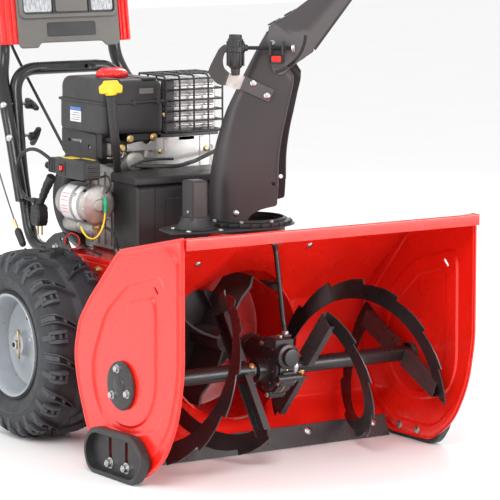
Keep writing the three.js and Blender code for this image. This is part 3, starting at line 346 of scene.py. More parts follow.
def curved(points, steps=6):
    """A smooth line through the points."""
    spots = [Vector(p) for p in points]
    spots = [2 * spots[0] - spots[1], *spots, 2 * spots[-1] - spots[-2]]
    line = []
    for i in range(1, len(spots) - 2):
        a, b, c, d = spots[i - 1 : i + 3]
        for k in range(steps):
            t = k / steps
            line.append(
                0.5
                * (
                    2 * b
                    + (c - a) * t
                    + (2 * a - 5 * b + 4 * c - d) * t * t
                    + (3 * b - a - 3 * c + d) * t**3
                )
            )
    return [*line, spots[-2]]


def bent(points, radius, steps=8):
    """Straight runs with a bend of that radius at each inner point."""
    spots = [Vector(p) for p in points]
    line = [spots[0]]
    for before, corner, after in zip(spots, spots[1:], spots[2:]):
        start = corner + (before - corner).normalized() * min(radius, (before - corner).length / 2)
        end = corner + (after - corner).normalized() * min(radius, (after - corner).length / 2)
        for k in range(steps + 1):
            t = k / steps
            line.append((1 - t) ** 2 * start + 2 * t * (1 - t) * corner + t * t * end)
    return [*line, spots[-1]]


# ---- solids ------------------------------------------------------------------------------------


class Shape:
    """Gathers closed solids, in millimetres, for one piece. `place` moves what is added next."""

    def __init__(self, basis=MACHINE):
        self.mesh = bmesh.new()
        self.basis = basis
        self.place = Matrix.Identity(4)

    def skin(self, rings, closed=False):
        """Joins rings of points with the same count, capped unless the last meets the first."""
        made = [[self.mesh.verts.new(self.place @ Vector(p)) for p in ring] for ring in rings]
        pairs = list(zip(made, made[1:]))
        if closed:
            pairs.append((made[-1], made[0]))
        for a, b in pairs:
            for i in range(len(a)):
                j = (i + 1) % len(a)
                self.mesh.faces.new((a[i], a[j], b[j], b[i]))
        if not closed:
            self.mesh.faces.new(made[0][::-1])
            self.mesh.faces.new(made[-1])
        return self

    def prism(self, axis, outline, low, high, edge=0.8):
        """An outline extruded along an axis, with its edges chamfered."""
        edge = min(edge, (high - low) / 2.5)
        small = inset(outline, edge)
        levels = [(small, low), (outline, low + edge), (outline, high - edge), (small, high)]
        return self.skin([[on_axis(axis, u, v, w) for u, v in line] for line, w in levels])

    def box(self, x0, x1, y0, y1, z0, z1, edge=0.8):
        return self.prism("z", [(x0, y0), (x1, y0), (x1, y1), (x0, y1)], z0, z1, edge)

    def turned(self, axis, profile, centre, sides=48, closed=False):
        """A profile of (along, radius) turned round an axis through the centre."""
        rings = [
            [on_axis(axis, u, v, along) for u, v in circle(centre, max(radius, 0.01), sides)]
            for along, radius in profile
        ]
        return self.skin(rings, closed)

    def rod(self, axis, radius, low, high, centre, sides=32, edge=0.8):
        edge = min(edge, radius / 3, (high - low) / 3)
        profile = [(low, radius - edge), (low + edge, radius), (high - edge, radius), (high, radius - edge)]
        return self.turned(axis, profile, centre, sides)

    def ring(self, axis, outer, inner, low, high, centre, sides=48, edge=0.6):
        profile = [
            (low, inner + edge), (low, outer - edge), (low + edge, outer), (high - edge, outer),
            (high, outer - edge), (high, inner + edge), (high - edge, inner), (low + edge, inner),
        ]
        return self.turned(axis, profile, centre, sides, closed=True)

    def tube(self, line, radius, sides=16, edge=0.8):
        """A round bar along a line of points; the radius may be a list, one for each point."""
        spots = [Vector(p) for p in line]
        radii = list(radius) if isinstance(radius, (list, tuple)) else [radius] * len(spots)
        tangents = [
            (spots[min(i + 1, len(spots) - 1)] - spots[max(i - 1, 0)]).normalized()
            for i in range(len(spots))
        ]
        side = tangents[0].orthogonal().normalized()
        rings = []
        for i, (spot, tangent) in enumerate(zip(spots, tangents)):
            side = (side - tangent * side.dot(tangent)).normalized()
            other = tangent.cross(side)
            chamfer = min(edge, radii[i] / 3)
            levels = [(0, radii[i])]
            if i == 0:
                levels = [(0, radii[i] - chamfer), (chamfer, radii[i])]
            if i == len(spots) - 1:
                levels = [(-chamfer, radii[i]), (0, radii[i] - chamfer)]
            for shift, r in levels:
                rings.append([
                    spot + tangent * shift + side * (r * math.cos(a)) + other * (r * math.sin(a))
                    for a in (2 * math.pi * k / sides for k in range(sides))
                ])
        return self.skin(rings)

    def slab(self, outer, inner):
        """A sheet between two grids of points with the same rows and columns."""
        grids = [
            [[self.mesh.verts.new(self.place @ Vector(p)) for p in row] for row in grid]
            for grid in (outer, inner)
        ]
        rows, columns = len(outer), len(outer[0])
        for grid in grids:
            for i in range(rows - 1):
                for j in range(columns - 1):
                    self.mesh.faces.new(
                        (grid[i][j], grid[i][j + 1], grid[i + 1][j + 1], grid[i + 1][j])
                    )
        rim = [(0, j) for j in range(columns)] + [(i, columns - 1) for i in range(1, rows)]
        rim += [(rows - 1, j) for j in range(columns - 2, -1, -1)]
        rim += [(i, 0) for i in range(rows - 2, 0, -1)]
        for (a, b), (c, d) in zip(rim, [*rim[1:], rim[0]]):
            self.mesh.faces.new((grids[0][a][b], grids[0][c][d], grids[1][c][d], grids[1][a][b]))
        return self

    def aimed(self, spot, direction):
        """What follows is built at the origin along +z and stands at the spot along a direction."""
        turn = Vector(direction).to_track_quat("Z", "Y").to_matrix().to_4x4()
        self.place = Matrix.Translation(spot) @ turn
        return self

    def straight(self):
        self.place = Matrix.Identity(4)
        return self

    def hex_bolt(self, spot, direction, width=13, height=6, washer=0.0):
        """A flanged hex head, standing on a surface at the spot."""
        self.aimed(spot, direction)
        if washer:
            self.rod("z", washer, 0, 1.6, (0, 0), 28, 0.4)
        base = 1.6 if washer else 0
        self.rod("z", width * 0.62, base, base + 1.5, (0, 0), 24, 0.4)
        head = circle((0, 0), width * 0.577, 6)
        self.prism("z", head, base + 1.2, base + height, 0.9)
        return self.straight()

    def dome_bolt(self, spot, direction, radius=8, height=4):
        """A carriage bolt's round head."""
        self.aimed(spot, direction)
        profile = [(0, radius), (height * 0.35, radius * 0.96), (height * 0.7, radius * 0.75),
                   (height * 0.93, radius * 0.4), (height, radius * 0.1)]
        self.turned("z", profile, (0, 0), 24)
        return self.straight()


def finish_mesh(name, shape, material, sharp):
    mesh = shape.mesh
    bmesh.ops.recalc_face_normals(mesh, faces=mesh.faces)
    for face in mesh.faces:
        face.smooth = True
    for edge in mesh.edges:
        edge.smooth = len(edge.link_faces) != 2 or edge.calc_face_angle(0) < math.radians(sharp)
    data = bpy.data.meshes.new(name)
    mesh.to_mesh(data)
    data.transform(shape.basis)
    made = bpy.data.objects.new(name, data)
    bpy.context.scene.collection.objects.link(made)
    made.data.materials.append(material)
    return made


def carve(target, *cutters):
    """Cuts the cutters' solids out of the target's mesh."""
    for cutter in cutters:
        tool = finish_mesh("cutter", cutter, target.data.materials[0], 40)
        modifier = target.modifiers.new("cut", "BOOLEAN")
        modifier.object = tool
        modifier.solver = "EXACT"
        modifier.operation = "DIFFERENCE"
        modifier.use_self = True
        bpy.context.view_layer.update()
        evaluated = target.evaluated_get(bpy.context.evaluated_depsgraph_get())
        data = bpy.data.meshes.new_from_object(evaluated)
        target.modifiers.clear()
        if not data.vertices:
            raise ValueError(f"{target.name} is empty after a cut")
        target.data = data
        bpy.data.objects.remove(tool)
    return target


def piece(name, shape, look, body="machine", replaces=(), cuts=(), sharp=38, bevel=0.0):
    """Makes a piece that rides on a body, with its finish, and stands for CAD nodes if named."""
    made = finish_mesh(name, shape, LOOKS[look], sharp)
    carve(made, *cuts)
    if bevel:
        modifier = made.modifiers.new("bevel", "BEVEL")
        modifier.width = bevel / 1000
        modifier.segments = 2
        modifier.limit_method = "ANGLE"
        modifier.angle_limit = math.radians(40)
        modifier.harden_normals = True
    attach(made, body)
    if replaces:
        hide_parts(*replaces)
    return made


def sides(make):
    """Calls make(name, sign) for the machine's right side, at -x, and its left side, at +x."""
    for name, sign in (("right", -1), ("left", 1)):
        make(name, sign)


def span(sign, low, high):
    """A stretch from low to high on the +x side, mirrored for the other side."""
    return (low, high) if sign > 0 else (-high, -low)


# ---- the starter's lead ------------------------------------------------------------------------

LEAD_ROUTE = [
    (-206, 787, 588), (-206.6, 798, 590), (-210, 818, 599), (-214, 840, 607), (-216, 864, 609),
    (-217, 888, 605), (-218, 910, 595), (-218, 926, 580), (-218, 933, 562), (-218, 933, 543),
    (-218, 927, 525), (-218, 916, 510), (-217, 901, 500), (-216, 886, 496), (-214, 872, 495),
]
LEAD_RADIUS = 4


def starter_plug():
    """The plug with two prongs that hangs from the switch box on its moulded neck."""
    shape = Shape()
    body = rounded([
        (836, 488, 8), (866, 488, 8), (872, 462, 6), (866, 440, 4), (836, 440, 4), (830, 462, 6),
    ])
    shape.prism("x", body, -222, -196, 3)
    for z in (448, 458, 468, 478):
        shape.box(-223, -195, 836, 866, z, z + 3, 1)
    neck = curved([(-208, 795, 554), (-209, 822, 522), (-209, 846, 487)])
    shape.tube(neck, [11 - 4 * i / (len(neck) - 1) for i in range(len(neck))], 20, 2)
    for share in (0.25, 0.4, 0.55, 0.7):
        i = int(share * (len(neck) - 1))
        shape.tube([neck[i], neck[i].lerp(neck[i + 1], 0.7)], 11.4 - 3 * share, 20, 0.8)
    shape.rod("y", 7, 856, 871.4, (-213, 494), 24, 1.5)
    shape.box(-216, -202, 846, 864, 480, 500, 3)
    return piece("starter_plug_body", shape, "rubber")


def starter_lead():
    plug = starter_plug()
    prongs = Shape()
    for y in (840, 858):
        prongs.rod("z", 2.4, 420, 441, (-209, y), 16, 1.2)
    prongs = piece("starter_plug_prongs", prongs, "gold")
    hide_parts("starter_plug")
    curve = bpy.data.curves.new("starter_lead", "CURVE")
    curve.dimensions = "3D"
    curve.bevel_depth = LEAD_RADIUS / 1000
    curve.bevel_resolution = 5
    curve.use_fill_caps = True
    spline = curve.splines.new("POLY")
    route = curved(LEAD_ROUTE, 5)
    spline.points.add(len(route) - 1)
    for point, spot in zip(spline.points, route):
        point.co = (*metres(spot), 1)
    lead = bpy.data.objects.new("starter_lead", curve)
    bpy.context.scene.collection.objects.link(lead)
    curve.materials.append(LOOKS["rubber"])
    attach(lead, "machine")
    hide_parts("starter_cord")


starter_lead()


# ---- auger housing -----------------------------------------------------------------------------

HALF_MOUTH = 357
SHELL_LINE = [
    (-4, 494), (-4, 518.8, 5), (251, 464, 16), (371, 352, 16), (412, 304, 10), (433, 234, 16),
    (420, 168, 16), (385, 84, 10), (339, 43, 8), (316, 4),
]
SHEET = 3
AUGER_AXIS = (233, 193)
DRUM_AXIS = (0, 225)


def open_offset(line, distance):
    """An open line moved sideways: the housing's sheet moves inwards where the distance is positive."""
    result = []
    for i, spot in enumerate(line):
        ahead = Vector(line[min(i + 1, len(line) - 1)]) - Vector(line[max(i - 1, 0)])
        ahead.normalize()
        result.append((spot[0] + ahead.y * distance, spot[1] - ahead.x * distance))
    return result


SKID_BOLTS = (273, 209)  # the bolts' places along the skid shoe
SKID_BOLT_Z = 27


def auger_housing():
    outside = rounded(SHELL_LINE)
    inside = open_offset(outside, SHEET)
    columns = [-HALF_MOUTH + 2 * HALF_MOUTH * i / 12 for i in range(13)]
    shape = Shape()
    shape.slab(
        [[(x, y, z) for x in columns] for y, z in outside],
        [[(x, y, z) for x in columns] for y, z in inside],
    )
    opening = Shape().turned("y", [(250, 162), (470, 162)], DRUM_AXIS, 96)
    piece("housing_shell", shape, "red", replaces=["auger_housing"], cuts=[opening], sharp=30)
    bolts = Shape()
    for x, y, z in ((-142, 300, 415), (122, 276, 438)):
        bolts.dome_bolt((x, y, z), (0, -0.68, -0.73), 8, 4)
    for x in (-315, -144, 144, 315):
        bolts.dome_bolt((x, 312.4, 30), (0, -0.89, 0.45), 9, 4)
    for sign in (-1, 1):
        for y in SKID_BOLTS:
            bolts.dome_bolt((sign * 357.3, y, SKID_BOLT_Z), (-sign, 0, 0), 9, 4)
    piece("housing_bolts", bolts, "steel")


PLATE_OUTLINE = [
    (8, 519, 4), (253, 468, 18), (374, 355, 24), (417, 304, 18), (438, 234, 28), (424, 166, 30),
    (388, 82, 24), (345, 30, 16), (300, 10, 12), (160, 12, 20), (80, 60, 44), (28, 150, 44),
    (8, 250, 30),
]
# The pressed steps, from the outside in: up, down and up again.
STEPS = {
    3.6: [(24, 474, 14), (62, 494, 14), (250, 448, 18), (384, 300, 20), (411, 214, 50),
          (376, 90, 30), (300, 40, 30), (150, 40, 40), (60, 120, 50), (24, 235, 40)],
    -4.4: [(217, 397, 14), (92, 432, 18), (73, 410, 14), (72, 183, 40), (100, 124, 40),
           (200, 92, 40), (300, 96, 40), (346, 150, 40), (360, 222, 40), (302, 334, 30)],
    3.8: [(205, 367, 14), (118, 388, 16), (108, 365, 14), (110, 185, 40), (146, 132, 40),
          (205, 108, 40), (265, 110, 40), (304, 145, 40), (332, 211, 40), (309, 278, 30)],
}
PLATE_MIDDLE = np.array((190.0, 245.0))


def depth_inside(points, outline):
    """How far each point lies inside the outline; negative outside."""
    corners = np.array(outline)
    ahead = np.roll(corners, -1, axis=0)
    edge = ahead - corners
    rel = points[:, None, :] - corners[None]
    along = np.clip((rel * edge).sum(-1) / (edge**2).sum(-1), 0, 1)
    distance = np.linalg.norm(rel - along[..., None] * edge, axis=-1).min(1)
    above = corners[:, 1] > points[:, 1:2]
    crosses = above != (ahead[:, 1] > points[:, 1:2])
    with np.errstate(divide="ignore", invalid="ignore"):
        at = corners[:, 0] + (points[:, 1:2] - corners[:, 1]) / edge[:, 1] * edge[:, 0]
    inside = (crosses & (points[:, 0:1] < at)).sum(1) % 2 == 1
    return np.where(inside, distance, -distance)


def step_up(depth, start, end):
    t = np.clip((depth - start) / (end - start), 0, 1)
    return t * t * (3 - 2 * t)


def side_plate(name, sign):
    """A pressed plate: a rolled rim round a field with two more steps inside it."""
    outline = rounded(PLATE_OUTLINE, 10)
    around, rings = 340, 140
    corners = np.array(outline)
    grid = []
    for i in range(around):
        angle = 2 * math.pi * i / around
        ray = np.array((math.cos(angle), math.sin(angle)))
        edge = np.roll(corners, -1, axis=0) - corners
        rel = corners - PLATE_MIDDLE
        cross = ray[0] * edge[:, 1] - ray[1] * edge[:, 0]
        reach = (rel[:, 0] * edge[:, 1] - rel[:, 1] * edge[:, 0]) / cross
        along = (rel[:, 0] * ray[1] - rel[:, 1] * ray[0]) / cross
        reach = reach[(along >= 0) & (along <= 1) & (reach > 0)].min()
        grid.append([PLATE_MIDDLE + ray * reach * (0.03 + 0.97 * k / (rings - 1)) for k in range(rings)])
    points = np.array(grid).reshape(-1, 2)
    rim = depth_inside(points, outline)
    rim_bead, rolled_edge = step_up(rim, 0, 4) * (1 - step_up(rim, 8, 12)), 1 - step_up(rim, -1, 3)
    height = 1.8 * rim_bead - 2.2 * rolled_edge
    for rise, field in STEPS.items():
        height += rise * step_up(depth_inside(points, rounded(field, 8)), -1.8, 2.4)
    base = HALF_MOUTH + SHEET + 0.1
    outer = [[(sign * (base + height[i * rings + k]), *points[i * rings + k]) for k in range(rings)]
             for i in range(around)]
    lower = [[(x - sign * SHEET * 0.9, y, z) for x, y, z in row] for row in outer]
    shape = Shape()
    made = [[[shape.mesh.verts.new(p) for p in row] for row in face] for face in (outer, lower)]
    for face in made:
        for i in range(around):
            j = (i + 1) % around
            for k in range(rings - 1):
                shape.mesh.faces.new((face[i][k], face[i][k + 1], face[j][k + 1], face[j][k]))
        shape.mesh.faces.new([row[0] for row in face])
    for i in range(around):
        j = (i + 1) % around
        shape.mesh.faces.new((made[0][i][-1], made[1][i][-1], made[1][j][-1], made[0][j][-1]))
    slot = Shape()
    slot.place = Matrix.Translation((sign * 360, 109, 402)) @ Matrix.Rotation(math.radians(42), 4, "X")
    slot.box(-12, 12, -10, 10, -3.6, 3.6, 2)
    piece(f"plate_{name}", shape, "red", replaces=[f"side_plate_{name}"], cuts=[slot], sharp=50)


sides(side_plate)


def bearing(name, sign):
    low = HALF_MOUTH + SHEET + 5.8
    cap = Shape()
    cap.turned("x", [(sign * u, r) for u, r in [
        (low, 49), (low, 50), (low + 4, 50), (low + 6.4, 48), (low + 7, 44), (low + 7, 2),
    ]], AUGER_AXIS, 64)
    cap.turned("x", [(sign * u, r) for u, r in [
        (low + 6.5, 20), (low + 8.6, 19), (low + 9.4, 16), (low + 9.4, 1),
    ]], AUGER_AXIS, 48)
    cap.turned("x", [(sign * u, r) for u, r in [(347, 21), (347, 22), (low + 1, 22), (low + 1, 20)]],
               AUGER_AXIS, 40)
    piece(f"bearing_cap_{name}", cap, "black", replaces=[f"auger_bearing_{name}"])
    bolts = Shape()
    for degrees in (80, 200, 320):
        spot = (sign * (low + 6.6), *on_circle(AUGER_AXIS, 35, degrees))
        bolts.hex_bolt(spot, (sign, 0, 0), 12, 6, 9)
    piece(f"bearing_bolts_{name}", bolts, "steel")


def skid_shoe(name, sign):
    outline = rounded([
        (158, 0, 26), (340, 0, 36), (362, 48, 34), (333, 96, 26), (164, 101, 28), (112, 57, 30),
    ], 10)
    hollow = rounded([
        (163, 10, 22), (334, 10, 30), (351, 48, 28), (326, 86, 22), (168, 90, 22), (124, 56, 24),
    ], 10)
    low, high = HALF_MOUTH + SHEET + 4, 386
    shoe = Shape().prism("x", outline, *span(sign, low, high), 3)
    dish = Shape().prism("x", hollow, *span(sign, low + 6, high + 10), 0.1)
    slots = Shape()
    for y in SKID_BOLTS:
        slot = rounded([(y - 6, 18, 4), (y + 6, 18, 4), (y + 6, 80, 4), (y - 6, 80, 4)], 5)
        slots.prism("x", slot, *span(sign, 300, 400), 0.1)
    piece(f"skid_{name}", shoe, "plastic", replaces=[f"skid_shoe_{name}"], cuts=[dish, slots],
          bevel=1.2, sharp=45)
    bolts = Shape()
    for y in SKID_BOLTS:
        bolts.hex_bolt((sign * (low + 6), y, SKID_BOLT_Z), (sign, 0, 0), 14, 9, 12)
        bolts.rod("x", 4.5, *span(sign, low + 10, low + 19), (y, SKID_BOLT_Z), 20)
    piece(f"skid_bolts_{name}", bolts, "steel")


auger_housing()
sides(bearing)
sides(skid_shoe)


def scraper():
    shape = Shape()
    shape.prism("x", [(298, 1.5), (306, 1.5), (326, 38), (324, 43), (319, 43)], -350, 350, 0.5)
    piece("scraper", shape, "black", replaces=["scraper_bar"])


def impeller_drum():
    """The drum behind the housing, with the neck that leads up to the chute."""
    shape = Shape()
    shape.turned("y", [
        (385, 162), (385, 165.4), (536, 166), (542, 164), (545, 158), (545, 12), (541, 10),
        (541.6, 158), (540, 162),
    ], DRUM_AXIS, 96, closed=True)
    neck_hole = Shape().turned("z", [(300, 75), (500, 75)], CHUTE_CENTRE, 64)
    drum = piece("drum", shape, "red", replaces=["impeller_drum"], cuts=[neck_hole], sharp=35)
    neck = Shape().ring("z", 78, 75, 340, 469, CHUTE_CENTRE, 72)
    line = open_offset(rounded(SHELL_LINE), -0.4)
    front = Shape().prism("x", [(-50, 560), *line, (-50, 0)], -400, 400, 0.1)
    inside = Shape().turned("y", [(300, 163), (541, 163)], DRUM_AXIS, 96)
    piece("drum_neck", neck, "red", cuts=[front, inside], sharp=35)
    return drum


scraper()
impeller_drum()


# ---- augers ------------------------------------------------------------------------------------

FLIGHT = {"pitch": 367, "start": 72, "end": 342, "inner": 128, "outer": 172, "teeth": 9}
SHEAR_PIN_X = 62
LUG_ANGLES = (28, 78, 128, 205, 260, 318)  # the bolt lugs round the gearbox's flange


def flight_spot(sign, x, degrees, radius):
    angle = math.radians(degrees)
    return (
        sign * x,
        AUGER_AXIS[0] - radius * math.cos(angle),
        AUGER_AXIS[1] + radius * math.sin(angle),
    )


def flights(name, sign, phase):
    """Two saw-edged ribbons half a turn apart, on channel arms that stand on a tube."""
    run = FLIGHT["end"] - FLIGHT["start"]
    turn = run / FLIGHT["pitch"] * 360
    shares = []
    for tooth in range(FLIGHT["teeth"]):
        for part, rise in ((0, 0), (0.3, 0.35), (0.65, 0.75), (0.985, 1)):
            shares.append(((tooth + part) / FLIGHT["teeth"], rise))
    shares.append((1, 0.2))
    shape = Shape()
    for start in (phase, phase + 180):
        grids = []
        for shift in (1.5, -1.5):
            grid = []
            for share, rise in shares:
                x = FLIGHT["start"] + share * run + shift
                degrees = start - share * turn
                outer = FLIGHT["outer"] - 12 + 12 * rise
                radii = (FLIGHT["inner"], FLIGHT["inner"] + 14, FLIGHT["inner"] + 28, outer)
                grid.append([flight_spot(sign, x, degrees, r) for r in radii])
            grids.append(grid)
        shape.slab(*grids)
    piece(f"flight_ribbons_{name}", shape, "black", "augers", sharp=40, bevel=0.5)
    frame_shape = Shape()
    frame_shape.ring("x", 17, 13.2, *span(sign, 54, 340), AUGER_AXIS, 40, 0.8)
    arms = ((FLIGHT["start"] + 4, phase - 3), (FLIGHT["end"] - 12, phase - turn + 8))
    for x, degrees in arms:
        turned = Matrix.Rotation(math.radians(-degrees), 4, "X")
        frame_shape.place = Matrix.Translation((sign * x, *AUGER_AXIS)) @ turned
        channel = [(-20, -6), (20, -6), (20, 9), (17, 9), (17, -3), (-17, -3), (-17, 9), (-20, 9)]
        half = FLIGHT["inner"] + 14
        for low, high in ((-half, -16), (16, half)):
            frame_shape.skin([[(sign * w, y, z) for z, w in channel] for y in (low, high)])
    frame_shape.straight()
    piece(f"flight_arms_{name}", frame_shape, "black", "augers",
          replaces=[f"auger_flight_{name}"], bevel=0.6)
    pins = Shape()
    turned = Matrix.Rotation(math.radians(-phase), 4, "X")
    pins.place = Matrix.Translation((sign * SHEAR_PIN_X, *AUGER_AXIS)) @ turned
    pins.rod("z", 3.5, -25, 25, (0, 0), 18)
    pins.prism("z", circle((0, 0), 7, 6), 17, 22, 0.8)
    pins.prism("z", circle((0, 0), 7, 6), -22, -17, 0.8)
    pins.straight()
    piece(f"shear_pin_{name}", pins, "gold", "augers")


def auger_shaft():
    shape = Shape().rod("x", 12.7, -364, 364, AUGER_AXIS, 36, 1.2)
    shape.rod("x", 22.3, -9, 9, AUGER_AXIS, 48, 1)
    shape.rod("x", 18, 41, 53, AUGER_AXIS, 40, 1)
    piece("cross_shaft", shape, "steel", "augers", replaces=["auger_shaft"])


def gearbox():
    """The auger gearbox: a split casting with bolt lugs round its flange."""
    shape = Shape()
    shape.turned("x", [
        (-26, 28), (-25, 38), (-20, 46), (-17, 48), (-17, 55), (-2.2, 56), (-1.2, 54.5), (1.2, 54.5),
        (2.2, 56), (17, 55), (17, 48), (20, 46), (25, 38), (26, 28),
    ], AUGER_AXIS, 56)
    shape.turned("x", [(-48, 22), (-47, 24.5), (-30, 25), (-24, 33), (24, 33), (30, 25), (39, 24.5),
                       (40, 22)], AUGER_AXIS, 48)
    shape.turned("y", [(158, 12), (159, 18), (170, 19), (172, 26), (196, 27), (300, 27), (303, 30),
                       (322, 30), (330, 26)], DRUM_AXIS, 48)
    shape.box(-22, 22, 188, 234, 232, 262, 4)
    for degrees in LUG_ANGLES:
        y, z = on_circle(AUGER_AXIS, 54, degrees)
        shape.rod("x", 8.5, -19, 19, (y, z), 24, 1.2)
    for degrees in range(0, 360, 45):
        y, z = on_circle(AUGER_AXIS, 36, degrees)
        shape.rod("x", 3, -27.5, 27.5, (y, z), 12, 1)
    shape.rod("x", 8, -30, 30, (AUGER_AXIS[0] - 62, AUGER_AXIS[1] - 12), 24, 1.2)
    shape.box(-14, 14, 171, 205, 168, 196, 4)
    piece("gearbox_case", shape, "black", replaces=["auger_gearbox"], bevel=0.5)
    bolts = Shape()
    for degrees in LUG_ANGLES:
        y, z = on_circle(AUGER_AXIS, 54, degrees)
        bolts.hex_bolt((-18.5, y, z), (-1, 0, 0), 9, 5)
        bolts.hex_bolt((18.5, y, z), (1, 0, 0), 9, 4)
    bolts.hex_bolt((0, 206, 261.5), (0, 0, 1), 11, 5)
    bolts.hex_bolt((14, 171.5, 178), (0, -1, 0), 9, 5)
    piece("gearbox_bolts", bolts, "steel")
    seal = Shape().ring("x", 55.4, 50, -1.4, 1.4, AUGER_AXIS, 56, 0.2)
    piece("gearbox_gasket", seal, "gold")


def gearbox_brace():
    shape = Shape()
    line = bent([(2, 232, 458), (3, 226, 440), (13, 213, 292), (13, 206, 272)], 14)
    shape.tube(line, 5.5, 20, 1)
    shape.box(-9, 13, 220, 242, 453, 457, 1)
    shape.box(4, 22, 196, 216, 262.5, 267, 1)
    piece("brace_rod", shape, "black", replaces=["gearbox_brace"])
    nut = Shape().hex_bolt((13, 206, 267), (0, 0, 1), 13, 7)
    piece("brace_nut", nut, "steel")


flights("right", -1, 128)
flights("left", 1, 52)
auger_shaft()
gearbox()
gearbox_brace()


def impeller():
    """Four scoops with turned lips on a back plate."""
    front, back, radius = 412, 526, 156
    shape = Shape()
    shape.turned("y", [(front - 2, 11), (front, 23), (front + 3, 24), (back, 24), (back, 11)],
                 DRUM_AXIS, 40)
    plate = circle(DRUM_AXIS, 96, 64)
    shape.prism("y", plate, back - 4, back, 0.6)
    blade = [(-3, 16), (3, 16), (3, 60), (10, 96), (24, 126), (21, radius - 6), (15, radius - 5),
             (18, 128), (5, 98), (-3, 62)]
    rib = [(-3, 60), (-3, 63), (-34, 92), (-34, 88)]
    for i in range(4):
        turn = Matrix.Rotation(math.radians(20 + 90 * i), 4, "Y")
        shape.place = Matrix.Translation((0, 0, DRUM_AXIS[1])) @ turn
        shape.prism("y", rounded([(*p, 6) for p in blade], 3), front, back, 0.8)
        shape.prism("y", rib, back - 30, back - 4, 0.5)
    shape.straight()
    piece("impeller_fan", shape, "chute", "impeller_rotor", replaces=["impeller"], bevel=0.6)
    shaft = Shape().rod("y", 8.7, 174, 603, DRUM_AXIS, 32, 1)
    shaft.rod("y", 9.1, 212, 254, DRUM_AXIS, 32, 0.5)
    piece("input_shaft", shaft, "steel", "impeller_rotor", replaces=["impeller_shaft"])


impeller()


# ---- chute -------------------------------------------------------------------------------------
# In the turret's frame a distance s along the discharge direction is y = -s.

CHUTE_LEVELS = [
    (-77, 482.3, 77, 482.3, 66), (-78, 552, 76, 560, 64), (-70, 613, 77, 617, 56),
    (-58, 660, 84, 670, 48), (-43, 705, 93, 712, 40), (-28, 740, 101, 750, 34),
    (22, 837, 107, 776, 22), (50, 886, 108, 796, 12),
]
DEFLECTOR_LEVELS = [
    (57, 901, 140, 838, 12), (100, 926, 182, 896, 12), (146, 960, 223, 953, 12),
    (196, 990, 252, 998, 12),
]
HINGE = (-64, 864)  # the deflector's hinge, as (y, z)
SCREW = (-92, 854)  # the deflector's screw, as (x, z)
TURNING_MOTOR = (-88, 396)


def duct(shape, levels, half, wall, steps=5):
    """A U-shaped sheet duct through levels of (back s, back z, front s, front z, corner radius)."""
    smooth = curved([Vector(level) for level in levels], steps)

    def section(level, move):
        back_s, back_z, front_s, front_z, radius = level
        side, start, corner = half - move, back_s + move, max(radius - move, 2)
        line = [(-side, front_s)]
        for share in (0.66, 0.33):
            line.append((-side, start + corner + (front_s - start - corner) * share))
        line += [
            (-side + corner * (1 - math.cos(a)), start + corner * (1 - math.sin(a)))
            for a in (math.pi / 2 * i / 9 for i in range(10))
        ]
        line += [(-x, s) for x, s in line[::-1]]
        rise = (front_z - back_z) / (front_s - back_s)
        return [(x, -s, back_z + rise * (s - back_s)) for x, s in line]

    shape.slab([section(v, 0) for v in smooth], [section(v, wall) for v in smooth])
    return shape


def chute_duct():
    shape = duct(Shape(TURRET), CHUTE_LEVELS, 75, 3)
    mouth = rounded([(4, 470), (-8, 472, 4), (-14, 498, 22), (-40, 512, 14), (-74, 520, 6),
                     (-76, 552), (-130, 552), (-130, 470)], 6)
    cutter = Shape(TURRET).prism("x", mouth, -90, 90, 0.1)
    holes = Shape(TURRET)
    holes.rod("x", 4.6, -90, 90, (-66, 566), 24, 0.1)
    piece("chute_duct", shape, "chute", "turret", replaces=["chute"], cuts=[cutter, holes],
          sharp=32, bevel=0.5)
    trims = Shape(TURRET)
    for x in (-75, 75):
        edge = curved([(x, -(s - 1), z) for _, _, s, z, _ in CHUTE_LEVELS[1:]], 5)
        trims.tube(edge, 2.2, 10, 1)
    piece("chute_edge_roll", trims, "chute", "turret")
    bolts = Shape(TURRET)
    for sign in (-1, 1):
        bolts.dome_bolt((sign * 74.9, 13, 503), (sign, 0, 0), 7, 3.4)
    for sign in (-1, 1):
        bolts.rod("x", 4, *span(sign, 70, 79.4), HINGE, 24, 0.8)
    bolts.dome_bolt((79.2, *HINGE), (1, 0, 0), 7.5, 3.6)
    bolts.hex_bolt((-79.2, *HINGE), (-1, 0, 0), 9, 4)
    piece("chute_bolts", bolts, "steel", "turret")
    studs = Shape(TURRET)
    for y in (-60, 0, 60):
        for sign in (1, -1):
            studs.aimed((sign * math.sqrt(86**2 - y * y), y, 481.9), (0, 0, 1))
            studs.rod("z", 5, 0, 6, (0, 0), 20, 1.4)
    studs.straight()
    piece("chute_collar_studs", studs, "steel", "turret")


def toothed(centre, radius, teeth, tooth):
    """A toothed outline; a tooth is a list of (share of the pitch, height over the radius)."""
    line = []
    for i in range(teeth):
        for turn, height in tooth:
            angle, reach = 2 * math.pi * (i + turn) / teeth, radius + height
            line.append((centre[0] + reach * math.cos(angle), centre[1] + reach * math.sin(angle)))
    return line


def collar():
    """The chute's toothed ring and its foot flange."""
    tooth = [(-0.3, -3.8), (-0.17, -2.6), (-0.09, 2), (-0.04, 2.6), (0.04, 2.6), (0.09, 2),
             (0.17, -2.6), (0.3, -3.8)]
    ring = Shape(TURRET).prism("z", toothed((0, 0), 96, 26, tooth), 474.8, 481.8, 0.6)
    hole = Shape(TURRET).rod("z", 75, 460, 500, (0, 0), 64, 0.1)
    piece("chute_ring", ring, "plastic", "turret", replaces=["chute_ring_gear"], cuts=[hole])
    lip = Shape(TURRET).ring("z", 84, 78.6, 481.9, 488, (0, 0), 64, 1)
    piece("chute_lip", lip, "plastic", "turret")


